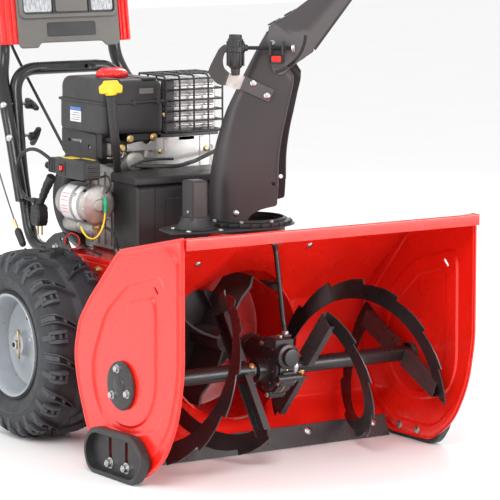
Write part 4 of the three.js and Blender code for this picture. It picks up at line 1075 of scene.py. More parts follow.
def deflector_hood():
    shape = duct(Shape(TURRET), DEFLECTOR_LEVELS, 79, 2.6, 6)
    lobe = rounded([(-57, 901, 4), (-140, 838, 10), (-101, 812, 20), (-86, 795, 14), (-66, 800, 14),
                    (-52, 860, 20)], 7)
    for sign in (-1, 1):
        shape.prism("x", lobe, *span(sign, 76.4, 79.4), 0.5)
    slot = Shape(TURRET)
    outer = arc((-48, 885), 89.5, 183, 255, 16)
    inner = arc((-48, 885), 82.5, 255, 183, 16)
    slot.prism("x", outer + inner, -100, -70, 0.1)
    bore = Shape(TURRET).rod("x", 4.4, -90, 90, HINGE, 24, 0.1)
    piece("hood", shape, "chute", "deflector_hood", replaces=["deflector"], cuts=[slot, bore],
          sharp=32, bevel=0.4)
    back = Shape(TURRET)
    for z0, s0 in ((903, 60), (923, 94)):
        back.aimed((0, -s0, z0), (0, 0.5, 0.86))
        back.box(-52, 52, -9, 9, -0.6, 2.4, 0.8)
    back.straight()
    piece("hood_back_pads", back, "rubber", "deflector_hood")
    clip = Shape(TURRET)
    clip.box(-84, -79.2, -90, -60, 822, 857, 1)
    for s in (60, 86):
        clip.box(-86, -81.5, -s - 4, -s, 822, 868, 1)
        clip.box(-103, -98.6, -s - 4, -s, 822, 868, 1)
        clip.box(-103, -81.5, -s - 4, -s, 822, 842, 1)
    clip.box(-102, -84, -88, -62, 822, 826, 0.8)
    clip.rod("y", 8, -89, -61, (-92, 832), 24, 1)
    piece("screw_clip", clip, "plastic", "deflector_hood", bevel=0.5)
    insert = Shape(TURRET).box(-101.5, -98.4, -85, -65, 826, 838, 0.8)
    piece("screw_clip_insert", insert, "red_plastic", "deflector_hood")


def screw_drive():
    """The deflector's gear head on a hooked bracket, whose twist joins a plate on the chute."""
    plate = Shape(TURRET).prism("x", [(-4, 795), (-69, 765), (-57, 739), (6, 767)], -79.6, -75.8, 0.6)
    piece("bracket_plate", plate, "chute", "turret", replaces=["deflector_motor"])
    twist = Shape(TURRET)
    ends = [((-76, -6, 793), (-76, 5, 766)), ((-79, 3, 794), (-80, 13, 767)),
            ((-86, 13, 797), (-88, 23, 771)), ((-92, 25, 801), (-92, 34, 776))]
    tops, feet = curved([a for a, _ in ends], 5), curved([b for _, b in ends], 5)
    front = [(a, a.lerp(b, 0.5), b) for a, b in zip(tops, feet)]
    behind = [[p + Vector((-3.6, -0.6, 0)) for p in row] for row in front]
    twist.slab(front, behind)
    piece("bracket_twist", twist, "cast", "turret", sharp=30)
    hook = Shape(TURRET)
    line = rounded([(24, 801), (33, 775), (50, 777, 8), (70, 801, 12), (66, 814, 12), (57, 832, 14),
                    (46, 853, 10), (35, 861), (22, 860), (22, 846), (34, 844, 4), (39, 828, 14),
                    (36, 811, 10)], 8)
    hook.prism("x", line, -96.6, -92.4, 0.8)
    piece("bracket_hook", hook, "chute", "turret")
    head = Shape(TURRET)
    x, z = SCREW
    head.turned("z", [(796, 7), (797, 9), (810, 10), (814, 14), (830, 16), (838, 17), (845, 17),
                      (846, 19.5), (856, 19.5), (857, 17), (872, 16.5), (874, 14), (881, 13.5),
                      (882, 12)], (x, 12), 12)
    for degrees in range(0, 360, 45):
        spot = on_circle((x, 12), 16.5, degrees)
        head.rod("z", 2.6, 816, 868, spot, 12, 0.8)
    head.rod("y", 11, -8, 22, SCREW, 28, 1.4)
    head.rod("y", 7, -14, -7, SCREW, 28, 1)
    head.rod("x", 5, -113, -86, (12, 851), 20, 1)
    piece("screw_head", head, "rubber", "turret", bevel=0.5)
    thread = [(11, 4.4)]
    for i in range(46):
        thread += [(-8 - 2.1 * i, 4.5), (-9 - 2.1 * i, 3.5)]
    shaft = Shape(TURRET).turned("y", [*thread, (-108, 4)], SCREW, 20)
    piece("screw_thread", shaft, "rubber", "deflector_leadscrew", sharp=50)
    nut = Shape(TURRET)
    nut.rod("y", 9, -109, -106, SCREW, 28, 0.6)
    nut.prism("y", circle(SCREW, 7.8, 6), -112.8, -108.4, 0.9)
    piece("screw_nut", nut, "steel", "deflector_leadscrew", replaces=["deflector_screw"])
    bolts = Shape(TURRET)
    for y, z in ((-24, 779), (-53, 753)):
        bolts.dome_bolt((-79.4, y, z), (-1, 0, 0), 7.4, 3.6)
    piece("bracket_bolts", bolts, "steel", "turret")


def chute_footing():
    """The plate that carries the ring, its collar, and the round foot of the turning motor."""
    outline = rounded([(-168, 356, 14), (-60, 330, 20), (60, 322, 60), (165, 370, 60), (165, 480, 60),
                       (60, 528, 60), (-60, 500, 30), (-150, 446, 14)], 10)
    line = open_offset(rounded(SHELL_LINE), -0.4)
    space = Shape().prism("x", [(-50, 560), *line, (-50, 0)], -400, 400, 0.1)
    hole = Shape().rod("z", 75, 440, 500, CHUTE_CENTRE, 64, 0.1)
    seat = Shape().rod("z", 78.4, 440, 469.6, CHUTE_CENTRE, 64, 0.1)
    plate = Shape().prism("z", outline, 470, 474, 1)
    piece("footing_plate", plate, "plastic", replaces=["chute_base"], cuts=[space, hole])
    neck = Shape().ring("z", 83, 75.2, 458, 470.5, CHUTE_CENTRE, 64, 0.8)
    piece("footing_collar", neck, "plastic", cuts=[space, seat])
    motor = Shape()
    motor.turned("z", [(474.3, 42), (475.4, 43), (478, 43), (480, 40), (484, 36.5), (496, 29),
                       (500, 27.6), (501, 22)], TURNING_MOTOR, 56)
    square = rounded([(-109, 375, 7), (-67, 375, 7), (-67, 417, 7), (-109, 417, 7)], 6)
    motor.prism("z", square, 490, 576, 2)
    motor.prism("z", inset(square, 5), 574, 578, 1)
    for x, y in ((-106, 378), (-70, 378), (-106, 414), (-70, 414)):
        motor.rod("z", 5, 478, 500, (x, y), 18, 1)
    piece("turning_motor", motor, "plastic", replaces=["chute_motor"], bevel=0.6)
    bolts = Shape()
    for x, y, z in ((-122, 366, 474), (-52, 352, 474), (-120, 430, 474), (150, 420, 474)):
        bolts.dome_bolt((x, y, z), (0, 0, 1), 6, 3)
    bolts.hex_bolt((-109, 388, 512), (-1, 0, 0), 6, 3)
    piece("footing_bolts", bolts, "steel")
    pinion = toothed(TURNING_MOTOR, 22, 12, [(-0.3, -3), (-0.1, 3), (0.1, 3), (0.3, -3)])
    piece("turning_pinion", Shape().prism("z", pinion, 474.2, 480, 0.5), "plastic")


chute_duct()
collar()
deflector_hood()
screw_drive()
chute_footing()


# ---- wheels ------------------------------------------------------------------------------------

HUB = (717, 205)
TREAD_MIDDLE = 283.5
# The carcass from the middle of the tread to the bead, and how far a lug stands on it.
CARCASS = [(0, 193, 11.6), (30, 192.6, 11.4), (60, 189.5, 11.5), (72, 183, 11), (79.5, 170, 3),
           (82, 152, 0.6)]
LUG_PITCHES = 14


def tread_spot(sign, half, s, v, lifted):
    """A point on the tyre: s across from the middle, v round it, both in mm."""
    rows = CARCASS
    for (s0, r0, h0), (s1, r1, h1) in zip(rows, rows[1:]):
        if s <= s1 or s1 == rows[-1][0]:
            t = min(max((s - s0) / (s1 - s0), 0), 1)
            radius, height = r0 + (r1 - r0) * t, h0 + (h1 - h0) * t
            break
    slope = step_up(np.array(s), 62, 82).item()
    across = s + (height * slope * 0.9 if lifted else -3 * slope)
    radius += height * (1 - 0.85 * slope) if lifted else -3
    angle = v / 200
    x = sign * (TREAD_MIDDLE + half * min(across, 82.4))
    return (x, HUB[0] - radius * math.cos(angle), HUB[1] + radius * math.sin(angle))


def lug_strip(shape, sign, half, rows):
    """A ridge on the tread through rows of (s, lower v, upper v); its top is a little narrower."""
    top, base = [], []
    for s, low, high in rows:
        draft = min(1.3, (high - low) / 4)
        top.append([tread_spot(sign, half, s, v, True) for v in (low + draft, high - draft)])
        base.append([tread_spot(sign, half, s, v, False) for v in (low - 0.6, high + 0.6)])
    shape.slab(top, base)


def long_lug(shape, sign, half, start):
    """A curved lug from shoulder to middle, with two pockets along it."""

    def row(s, low, high):
        sweep = start - 46 * (1 - s / 82) ** 1.7
        width = 7 + 19 * (s / 82)
        return (s, sweep + width * (low - 0.5), sweep + width * (high - 0.5))

    stations = [2, 12, 22, 32, 42, 52, 62, 70, 76, 80]
    lug_strip(shape, sign, half, [row(s, 0, 0.24) for s in stations])
    lug_strip(shape, sign, half, [row(s, 0.76, 1) for s in stations])
    for s0, s1 in ((2, 20), (40, 46), (64, 80)):
        lug_strip(shape, sign, half, [row(s, 0.2, 0.8) for s in (s0, (s0 + s1) / 2, s1)])


def short_block(shape, sign, half, start):
    """A shoulder block with two square pockets."""
    stations = [44, 52, 60, 68, 74]
    for low, high in ((-15, -5), (5, 15)):
        lug_strip(shape, sign, half, [(s, start + low, start + high) for s in stations])
    for s0, s1 in ((44, 49), (56, 61), (68, 74)):
        lug_strip(shape, sign, half, [(s, start - 6, start + 6) for s in (s0, (s0 + s1) / 2, s1)])
    lug_strip(shape, sign, half, [(s, start - 8, start + 8) for s in (72, 77, 81)])


def tyre(name, sign):
    crown = [(s, r) for s, r, _ in CARCASS]
    bead = [(81, 140), (76, 126), (70, 118), (68, 112.4)]
    profile = []
    for s, radius in curved([Vector(p) for p in [*crown, *bead]], 4):
        profile.append((s, radius))
    both_ways = [(-s, r) for s, r in profile[::-1]] + profile
    shape = Shape()
    shape.turned("x", [(sign * (TREAD_MIDDLE + s), r) for s, r in both_ways], HUB, 96, closed=True)
    for s in (-1, 1):
        for radius in (120, 147):
            shape.turned("x", [
                (sign * (TREAD_MIDDLE + s * u), r)
                for u, r in ((68, radius - 3), (82.3, radius - 1), (82.3, radius + 1), (68, radius + 3))
            ] if radius > 130 else [
                (sign * (TREAD_MIDDLE + s * u), r)
                for u, r in ((60, 113), (72, 113), (73.6, 116), (60, 119))
            ], HUB, 96, closed=True)
    circumference = 2 * math.pi * 200
    for half in (-1, 1):
        for i in range(LUG_PITCHES):
            start = circumference * (i + (0.5 if half < 0 else 0)) / LUG_PITCHES
            long_lug(shape, sign, half, start)
            short_block(shape, sign, half, start + circumference / LUG_PITCHES / 2)
    piece(f"tyre_{name}_tread", shape, "tyre", "wheels", replaces=[f"tyre_{name}"], sharp=34)


def rim(name, sign):
    barrel = [(356, 104), (360.4, 107.6), (361.6, 110), (360.4, 112), (356, 112), (350, 109),
             (338, 105.4), (324, 102.6), (300, 101), (240, 101), (222, 104), (213, 110), (210, 112),
             (206, 112), (205.4, 109.6), (208, 106.6), (220, 99), (240, 96.6), (298, 96.6),
             (318, 97.6), (338, 101)]
    disc = [(300, 97), (310, 98), (312, 92), (308, 82), (307.4, 70), (311, 52), (315, 40),
            (317, 31), (321, 26), (330, 23.4), (339, 22.6), (340, 21), (340, 10), (296, 10),
            (296, 40), (299, 70), (298, 90)]
    shape = Shape()
    for profile in (barrel, disc):
        shape.turned("x", [(sign * u, r) for u, r in profile], HUB, 96, closed=True)
    piece(f"rim_{name}_dish", shape, "rim", "wheels", replaces=[f"rim_{name}"], sharp=40)
    pin = Shape()
    x = sign * 334
    line = bent([(x, HUB[0] + 6, HUB[1] + 30), (x, HUB[0] + 6, HUB[1] - 34)], 1)
    pin.tube(line, 2.6, 14, 0.8)
    loop = curved([(x, HUB[0] + 6, HUB[1] + 28), (x + sign * 7, HUB[0] - 2, HUB[1] + 30),
                   (x + sign * 9, HUB[0] - 10, HUB[1] + 12), (x + sign * 9, HUB[0] - 10, HUB[1] - 12),
                   (x + sign * 6, HUB[0] - 2, HUB[1] - 28), (x, HUB[0] + 6, HUB[1] - 32)], 6)
    pin.tube(loop, 1.5, 10, 0.4)
    piece(f"wheel_clip_{name}", pin, "gold", "wheels")
    # A thin near-black disc on the axle's end: painted shade for the hollow at its centre.
    recess_shade = Shape().rod("x", 6, *span(sign, 350, 350.5), HUB, 28, 0.1)
    piece(f"axle_centre_shade_{name}", recess_shade, "hole", "wheels")
    stem = Shape()
    stem.aimed((sign * 326, HUB[0] - 62, HUB[1] + 66), (sign, 0, 0))
    stem.turned("z", [(-16, 4), (0, 4), (3, 3.2), (16, 3.2), (16.4, 4), (24, 4), (25, 3)], (0, 0), 20)
    stem.straight()
    piece(f"tyre_valve_{name}", stem, "rubber", "wheels")


def axle_bar():
    shape = Shape().rod("x", 9.5, -350, 350, HUB, 40, 1.4)
    teeth = []
    for i in range(20):
        for turn, height in ((-0.27, -3.6), (-0.12, 2.6), (0.12, 2.6), (0.27, -3.6)):
            angle = math.atan2(100, -16.5) + 2 * math.pi * (i + turn) / 20
            teeth.append((HUB[0] + (63.31 + height) * math.cos(angle),
                          HUB[1] + (63.31 + height) * math.sin(angle)))
    shape.prism("x", teeth, 108, 120, 0.6)
    for x in (-167, 160):
        shape.ring("x", 15, 9.6, x, x + 7, HUB, 36, 0.8)
    piece("axle_bar", shape, "steel", "wheels", replaces=["axle"])


sides(tyre)
sides(rim)
axle_bar()


# ---- tractor frame -----------------------------------------------------------------------------


def tractor_frame():
    """A folded steel box round the drive, with a bearing plate inside."""
    outline = rounded([(-165, 548, 9), (165, 548, 9), (165, 822, 9), (-165, 822, 9)], 6)
    hollow = inset(outline, 4)
    body = Shape().prism("z", outline, 130, 386, 1.5)
    room = Shape().prism("z", hollow, 134, 382, 0.1)
    well = Shape().box(-145, 145, 552, 636, 360, 420, 0.1)
    holes = Shape()
    holes.rod("y", 11, 540, 560, DRUM_AXIS, 32, 0.1)
    for y, z, radius in ((HUB[0], HUB[1], 9.9), (700.5, 305, 8.5)):
        holes.rod("x", radius, -180, 180, (y, z), 32, 0.1)
    piece("frame_box", body, "red", replaces=["tractor_frame"], cuts=[room, well, holes],
          bevel=0.8)
    inner = Shape().box(-160, 160, 631, 635, 250, 340, 0.5)
    bore = Shape().rod("y", 8.5, 620, 640, (0, 305), 24, 0.1)
    piece("frame_bearing_plate", inner, "steel", cuts=[bore])
    trims = Shape()
    for sign in (-1, 1):
        plate = rounded([(566, 250, 8), (640, 250, 8), (656, 330, 12), (752, 340, 8), (752, 374, 8),
                         (566, 374, 8)], 5)
        trims.prism("x", plate, *span(sign, 164.6, 167.2), 0.8)
        trims.ring("x", 26, 10.2, *span(sign, 164.8, 168.6), HUB, 40, 0.8)
        trims.ring("x", 20, 8.8, *span(sign, 164.8, 168), (700.5, 305), 40, 0.8)
        trims.box(*span(sign, 164.6, 168), 560, 812, 378, 386.2, 0.8)
    trims.box(-158, 158, 556, 816, 127.4, 130.4, 1)
    piece("frame_flanges", trims, "red", bevel=0.4)
    bolts = Shape()
    for sign in (-1, 1):
        for y, z in ((580, 356), (666, 360), (727, 359), (580, 268), (628, 268)):
            bolts.hex_bolt((sign * 167.2, y, z), (sign, 0, 0), 12, 6, 9)
        for y, z in ((HUB[0] - 19, HUB[1]), (HUB[0] + 19, HUB[1]), (780, 356), (780, 160), (570, 160)):
            bolts.hex_bolt((sign * 167.6, y, z), (sign, 0, 0), 10, 5, 0)
    for x in (-110, 0, 110):
        for y in (580, 790):
            bolts.hex_bolt((x, y, 127.6), (0, 0, -1), 10, 5, 8)
    for x, z in ((-120, 170), (120, 170), (-120, 340), (120, 340), (0, 150)):
        bolts.hex_bolt((x, 822, z), (0, 1, 0), 12, 6, 9)
    piece("frame_bolts", bolts, "gold")


tractor_frame()


# ---- engine ------------------------------------------------------------------------------------

CRANK = (0, 496)  # the crankshaft's axis, as (x, z)


def crankcase():
    shape = Shape()
    outline = rounded([(668, 387, 4), (668, 570, 26), (850, 590, 26), (850, 387, 4)], 7)
    shape.prism("x", outline, -95, 95, 5)
    shape.turned("y", [(655, 20), (656, 38), (660, 52), (668, 58), (672, 66)], CRANK, 56)
    for i in range(10):
        angle = math.radians(36 * i)
        shape.place = Matrix.Translation((0, 0, CRANK[1])) @ Matrix.Rotation(angle, 4, "Y")
        shape.box(-2.5, 2.5, 661, 669, 38, 78, 1)
    shape.straight()
    for sign in (-1, 1):
        for y in range(700, 840, 28):
            shape.box(*span(sign, 93, 98), y, y + 4, 400, 560, 1)
    shape.box(-112, -90, 673, 694, 522, 549, 3)
    shape.turned("z", [(524, 11), (527, 13), (550, 13), (553, 11), (556, 10.5)], (-110, 680), 32)
    shape.box(-144, -90, 690, 770, 480, 530, 4)
    shape.box(-99, 30, 720, 800, 580, 640, 5)
    piece("crankcase", shape, "cast", replaces=["engine_block"], bevel=1.0)
    fins = Shape()
    for i in range(14):
        z = 478 + 11 * i
        fins.box(18, 138, 699, 831, z, z + 3.4, 1)
    fins.box(26, 132, 706, 824, 470, 632, 3)
    cover = rounded([(712, 486, 16), (818, 486, 16), (818, 616, 16), (712, 616, 16)], 6)
    fins.prism("x", cover, 136, 158, 4)
    piece("cylinder_fins", fins, "cast")
    screws = Shape()
    for y, z in ((722, 496), (808, 496), (722, 606), (808, 606)):
        screws.hex_bolt((158, y, z), (1, 0, 0), 9, 5)
    for i in range(8):
        x, z = arc(CRANK, 74, 22 + 45 * i, 23 + 45 * i, 1)[0]
        screws.hex_bolt((x, 668, z), (0, -1, 0), 10, 6)
    piece("engine_screws", screws, "steel")


def governor_side():
    """The bracket, its gold screws, the throttle link and the small parts below the tank."""
    bracket = Shape()
    line = rounded([(-78, 618, 2), (-28, 618, 2), (-28, 636, 3), (-44, 637, 4), (-50, 630, 4),
                    (-60, 630, 4), (-66, 637, 4), (-104, 632, 3), (-104, 620, 3)], 4)
    bracket.prism("y", line, 646, 648.6, 0.6)
    bracket.box(-104, -30, 646, 668, 616, 619, 0.8)
    bracket.tube(curved([(-150, 654, 604), (-128, 652, 603), (-112, 652, 606), (-112, 652, 622)]),
                 1.8, 10)
    piece("governor_bracket", bracket, "bright", bevel=0.4)
    screws = Shape()
    for x, z in ((-97, 643), (-38, 644), (-118, 624)):
        screws.aimed((x, 645.6, z), (0, -1, 0))
        screws.turned("z", [(-1, 8), (0, 8.4), (1.6, 8.4), (2.4, 7)], (0, 0), 28)
        screws.prism("z", circle((0, 0), 6.2, 6), 2, 6.4, 0.9)
    screws.straight()
    piece("governor_screws", screws, "gold")
    body = Shape()
    body.turned("y", [(650, 8), (651, 15), (655, 22), (664, 25), (690, 25)], (-78, 594), 36)
    body.turned("y", [(655, 6), (656, 12), (664, 17), (690, 17)], (-42, 600), 32)
    body.box(-66, -20, 658, 700, 578, 618, 4)
    body.rod("z", 7, 600, 622, (-52, 654), 20, 1)
    body.rod("x", 5, -130, -96, (668, 612), 18, 1)
    body.box(-138, -118, 660, 700, 606, 640, 3)
    piece("governor_casting", body, "cast", bevel=0.8)
    dark = Shape()
    dark.box(-100, -28, 650, 700, 636, 655, 3)
    dark.box(-150, -112, 676, 704, 598, 662, 4)
    dark.rod("y", 9, 655, 690, (-134, 642), 24, 1.4)
    dark.tube(curved([(-120, 664, 650), (-134, 655, 630), (-130, 654, 604), (-112, 660, 590)]), 3, 10)
    dark.tube(curved([(-128, 590, 590), (-116, 596, 592), (-86, 600, 600), (-56, 592, 602),
                      (-20, 592, 600)]), 3, 12)
    dark.tube(curved([(-112, 600, 590), (-100, 586, 590), (-74, 556, 591), (-33, 552, 590),
                      (10, 575, 592), (46, 606, 592), (102, 640, 600), (130, 652, 606)]), 4.6, 14)
    piece("engine_hoses", dark, "rubber", bevel=0.6)


def belt_cover():
    half = 131
    outline = rounded([(560, 386.5), (560, 543, 7), (586, 567, 7), (664, 567), (664, 386.5)], 6)
    hollow = [(563, 380), (563, 541), (587, 564), (670, 564), (670, 380)]
    shape = Shape().prism("x", outline, -half, half, 4)
    room = Shape().prism("x", hollow, -half + 3, half - 3, 0.1)
    piece("cover_shell", shape, "plastic", replaces=["belt_cover"], cuts=[room], bevel=1.2)
    rim_shape = Shape()
    lip = rounded([(555, 552, 3), (555, 568, 8), (662, 574, 8), (662, 552, 3)], 5)
    rim_shape.prism("x", lip, -137, 134, 2)
    notch = Shape().tube([(-108, 676, 545), (-124, 656, 584), (-140, 632, 626)], 13.5, 24)
    piece("cover_lip", rim_shape, "plastic", cuts=[notch], bevel=0.8)
    ribs = Shape()
    for x in (-84, 84):
        ribs.box(x - 3, x + 3, 557.6, 562, 400, 540, 1)
    ribs.box(-60, 60, 557.8, 561, 420, 520, 1.4)
    piece("cover_ribs", ribs, "plastic")
    bolts = Shape()
    for x in (-118, 118):
        bolts.hex_bolt((x, 560, 402), (0, -1, 0), 10, 5, 8)
    bolts.hex_bolt((-131, 640, 402), (-1, 0, 0), 10, 5, 8)
    bolts.hex_bolt((131, 640, 402), (1, 0, 0), 10, 5, 8)
    piece("cover_bolts", bolts, "steel")


def recoil_side():
    """The flywheel shroud with its vented recoil cover."""
    shroud = Shape().turned("y", [
        (850.6, 132), (850.6, 142), (854, 147), (858, 150), (894, 150), (900, 147), (905, 141),
        (908, 134), (908, 132), (900, 132),
    ], CRANK, 80, closed=True)
    shroud.turned("y", [(900, 133), (908, 134), (908.4, 92), (903, 88), (899, 92), (898, 128)],
                  CRANK, 80, closed=True)
    piece("flywheel_shroud", shroud, "plastic", replaces=["blower_housing"], bevel=0.5)
    cover = Shape().turned("y", [(898, 94), (909, 92), (918, 86), (930, 82), (936, 76), (939, 68),
                                 (940, 30), (940, 1), (932, 1), (932, 60), (926, 74), (902, 84)],
                           CRANK, 80, closed=False)
    slots = Shape()
    for i in range(16):
        angle = math.radians(22.5 * i + 11)
        slots.place = Matrix.Translation((0, 0, CRANK[1])) @ Matrix.Rotation(angle, 4, "Y")
        slots.prism("y", rounded([(-3.5, 40, 3), (3.5, 40, 3), (5.5, 68, 4), (-5.5, 68, 4)], 4),
                    920, 950, 0.1)
    piece("recoil_cover", cover, "plastic", cuts=[slots])
    # A near-black drum behind the cover's slots: painted shade for the dark space seen through them.
    inner = Shape().turned("y", [(900, 2), (900, 80), (924, 78), (924, 2)], CRANK, 64)
    piece("recoil_screen_shade", inner, "hole")
    guide = Shape().ring("y", 16, 4.2, 904, 944, (-100, 560), 40, 2)
    guide.prism("y", rounded([(-120, 540, 8), (-80, 540, 8), (-60, 500, 8), (-84, 566, 10),
                              (-116, 580, 10)], 4), 906, 930, 2)
    hole = Shape().rod("y", 4.2, 880, 950, (-100, 560), 24, 0.1)
    piece("rope_guide", guide, "plastic", cuts=[hole])
    grip = Shape()
    grip.tube(bent([(-134, 952, 560), (-100, 956, 560), (-66, 952, 560)], 12), 8, 24, 3)
    for x in (-124, -114, -86, -76):
        grip.ring("x", 8.6, 6, x - 1.2, x + 1.2, (954.4, 560), 24, 0.5)
    grip.rod("y", 6, 946, 958, (-100, 560), 24, 1.5)
    piece("recoil_grip_moulding", grip, "plastic", "recoil_grip", replaces=["recoil_handle"])
    rope = Shape()
    twist = []
    for i in range(76):
        twist.append((-100, 800.5 + 2 * i, 560))
    rope.tube(twist, [2.5 if i % 2 else 2.2 for i in range(76)], 12, 0.3)
    piece("recoil_rope", rope, "label", "recoil_grip")
    screws = Shape()
    for i in range(6):
        x, z = arc(CRANK, 121, 60 * i + 8, 60 * i + 9, 1)[0]
        screws.hex_bolt((x, 908.2, z), (0, 1, 0), 10, 5, 8)
    piece("recoil_screws", screws, "steel")


def fuel_tank():
    lower = rounded([(-166, 641, 16), (-12, 641, 16), (-12, 839, 22), (-166, 839, 22)], 8)
    upper = rounded([(-165, 642, 20), (-13, 642, 20), (-13, 838, 26), (-165, 838, 26)], 8)
    shape = Shape()

    def stack(levels):
        shape.skin([[(x, y, z) for x, y in inset(line, d)] for line, d, z in levels])

    stack([(lower, 8, 655), (lower, 3, 657), (lower, 0.6, 662), (lower, 0, 670), (lower, 0.5, 722)])
    stack([(upper, 0.4, 722), (upper, 0.4, 750), (upper, 1.6, 758), (upper, 5, 765),
           (upper, 10, 769.5), (upper, 16, 771.6), (upper, 30, 772.4)])
    flange = rounded([(-170, 637, 16), (-8, 637, 16), (-8, 843, 22), (-170, 843, 22)], 8)
    shape.prism("z", flange, 719.6, 725, 1.6)
    for x in (-150, -90, -30):
        shape.rod("z", 5, 717, 727.6, (x, 640), 20, 1)
    shape.box(-150, -120, 648, 700, 766, 775, 3)
    shape.box(-62, -28, 648, 820, 767, 774, 3)
    piece("tank_shell", shape, "plastic", replaces=["fuel_tank"], sharp=42)
    filler = Shape().ring("z", 27.2, 23, 764, 784, (-92, 729), 56, 1)
    piece("tank_neck", filler, "plastic")
    label = Shape()
    label.box(-167.0, -165.6, 737, 783, 676, 700, 0.2)
    piece("tank_label", label, "label")
    band = Shape().box(-167.05, -165.6, 737, 783, 700.4, 708, 0.2)
    piece("tank_label_band", band, "label_blue")
    lines = Shape()
    for i in range(4):
        lines.box(-167.3, -166, 742, 778 - 7 * (i % 2), 680 + 5 * i, 681.4 + 5 * i, 0.1)
    piece("tank_label_rules", lines, "grey")
    plate = rounded([(-76, 740, 2), (-40, 740, 2), (-40, 752, 2), (-76, 752, 2)], 4)
    badge = Shape().prism("y", plate, 640.2, 642.4, 0.5)
    piece("tank_badge", badge, "grey")


def fuel_cap():
    shape = Shape().turned("z", [
        (773, 27.6), (773, 33), (774.4, 34), (781, 34), (784, 33), (788, 29), (790.6, 22),
        (791.8, 12), (792, 0.5), (785, 0.5), (785, 27.6),
    ], (-92, 729), 72)
    for i in range(24):
        x, y = on_circle((-92, 729), 33.2, 15 * i)
        shape.rod("z", 2.2, 773.6, 783.6, (x, y), 10, 0.8)
    shape.box(-118, -66, 725, 733, 786, 793, 2)
    piece("cap_moulding", shape, "red_plastic", "tank_cap", replaces=["fuel_cap"], sharp=44)


DIPSTICK_ROUTE = [
    (-110.4, 679.5, 550), (-124, 656, 584), (-140, 632, 626), (-148, 626, 664), (-155, 626, 742),
]


def on_dipstick(share):
    start, end = Vector(DIPSTICK_ROUTE[-2]), Vector(DIPSTICK_ROUTE[-1])
    return start.lerp(end, share)


def dipstick():
    line = curved([Vector(p) for p in DIPSTICK_ROUTE], 8)
    count = len(line)
    tube = Shape().tube(line, [8 + 3.4 * (i / count) ** 2 for i in range(count)], 28, 1)
    bore = Shape().tube([on_dipstick(0), on_dipstick(0.5), on_dipstick(1.1)], 6.4, 20)
    tube.ring("z", 14, 10, 548, 556, (-110, 680), 32, 1)
    piece("oil_tube", tube, "plastic", replaces=["dipstick_tube"], cuts=[bore])
    blade = Shape().tube([on_dipstick(0.1), on_dipstick(0.5), on_dipstick(1.06)], 2.5, 12)
    piece("dipstick_blade", blade, "steel", "oil_dipstick")
    cap = Shape()
    foot, top = on_dipstick(1.01), on_dipstick(1.2)
    steps = [foot.lerp(top, i / 6) for i in range(7)]
    cap.tube(steps, [12.6, 13, 13, 12.4, 10, 9, 8.4], 32, 1)
    wing = rounded([(-182, 746, 4), (-130, 746, 4), (-128, 762, 5), (-138, 768, 3), (-140, 774, 4),
                    (-172, 774, 4), (-174, 768, 3), (-184, 762, 5)], 5)
    cap.prism("y", wing, 619.4, 632.6, 2.4)
    piece("dipstick_cap", cap, "yellow", "oil_dipstick", replaces=["dipstick"], bevel=0.8)


def muffler():
    shape = Shape()
    outline = rounded([(673, 646, 16), (673, 767, 16), (774, 767, 16), (774, 646, 16)], 8)
    shape.prism("x", outline, 0, 143, 6)
    for i in range(5):
        z = 660 + 22 * i
        louvre = [(673.6, z), (668.6, z + 3), (668.6, z + 5), (673.6, z + 16)]
        shape.prism("x", louvre, 22, 134, 0.8)
    shape.prism("x", rounded([(669, 652, 6), (676, 652), (676, 762), (669, 762, 6)], 4), 0, 16, 2)
    shape.ring("x", 14, 10, 140, 162, (720, 672), 40, 1)
    piece("muffler_shell", shape, "bright", replaces=["muffler"], bevel=0.8)
    # A black plate over the left end of the muffler's front, which makes that end dark.
    dark_end = Shape().box(-2, 27, 665, 672, 652, 764, 1)
    piece("muffler_dark_end", dark_end, "black")
    shield = Shape()
    line = rounded([(-24, 640), (-24, 568, 8), (122, 568, 8), (122, 640)], 5)
    shield.prism("y", line, 666, 668.6, 0.6)
    shield.box(119, 122, 666, 699, 570, 640, 0.6)
    for x in (6, 98):
        shield.prism("y", [(x - 5, 572), (x + 5, 572), (x + 5, 638), (x - 5, 638)], 664, 667, 1.2)
    shield.box(40, 80, 666, 680, 630, 648, 1.4)
    piece("heat_shield", shield, "bright", bevel=0.6)
    screws = Shape()
    for x, z in ((-8, 610), (110, 610), (-1, 690)):
        screws.hex_bolt((x, 665.4 if z < 650 else 664, z), (0, -1, 0), 9, 5)
    piece("muffler_screws", screws, "gold")


def muffler_guard():
    """A wire cage over the muffler's front, top and right side."""
    shape = Shape()
    x0, x1, y0, y1, z0, z1 = 2, 150, 660, 770, 650, 774
    wire = 2.2
    for i in range(5):
        x = x0 + (x1 - x0) * i / 4
        run = [(x, y0, z0), (x, y0, z1), (x, y1, z1)]
        shape.tube(bent(run, 12, 4), wire, 12, 0.3)
    for i in range(6):
        z = z0 + (z1 - z0 - 8) * i / 5
        run = [(x0, y1, z), (x0, y0 - 1, z), (x1, y0 - 1, z), (x1, y0 + 40, z)]
        shape.tube(bent(run, 10, 4), wire, 12, 0.3)
    for i in range(1, 4):
        y = y0 + (y1 - y0) * i / 3
        shape.tube([(x0, y, z1), ((x0 + x1) / 2, y, z1), (x1, y, z1)], wire, 10, 0.3)
        shape.tube([(x0, y, z0), (x0, y, (z0 + z1) / 2), (x0, y, z1)], wire, 10, 0.3)
    shape.tube(bent([(x0, y1, z0), (x0, y0, z0), (x1, y0, z0), (x1, y0 + 40, z0)], 10, 5), 3, 12)
    piece("guard_wires", shape, "tube", replaces=["muffler_guard"])
    strap = Shape()
    strap.prism("y", rounded([(-22, 640, 4), (-8, 640, 4), (-6, 712, 4), (-20, 712, 4)], 4),
                662, 666, 0.8)
    strap.box(-20, 20, 664, 690, 706, 710, 0.8)
    strap.box(-22, 140, 662, 668, 640, 648, 1)
    piece("guard_strap", strap, "black", bevel=0.5)


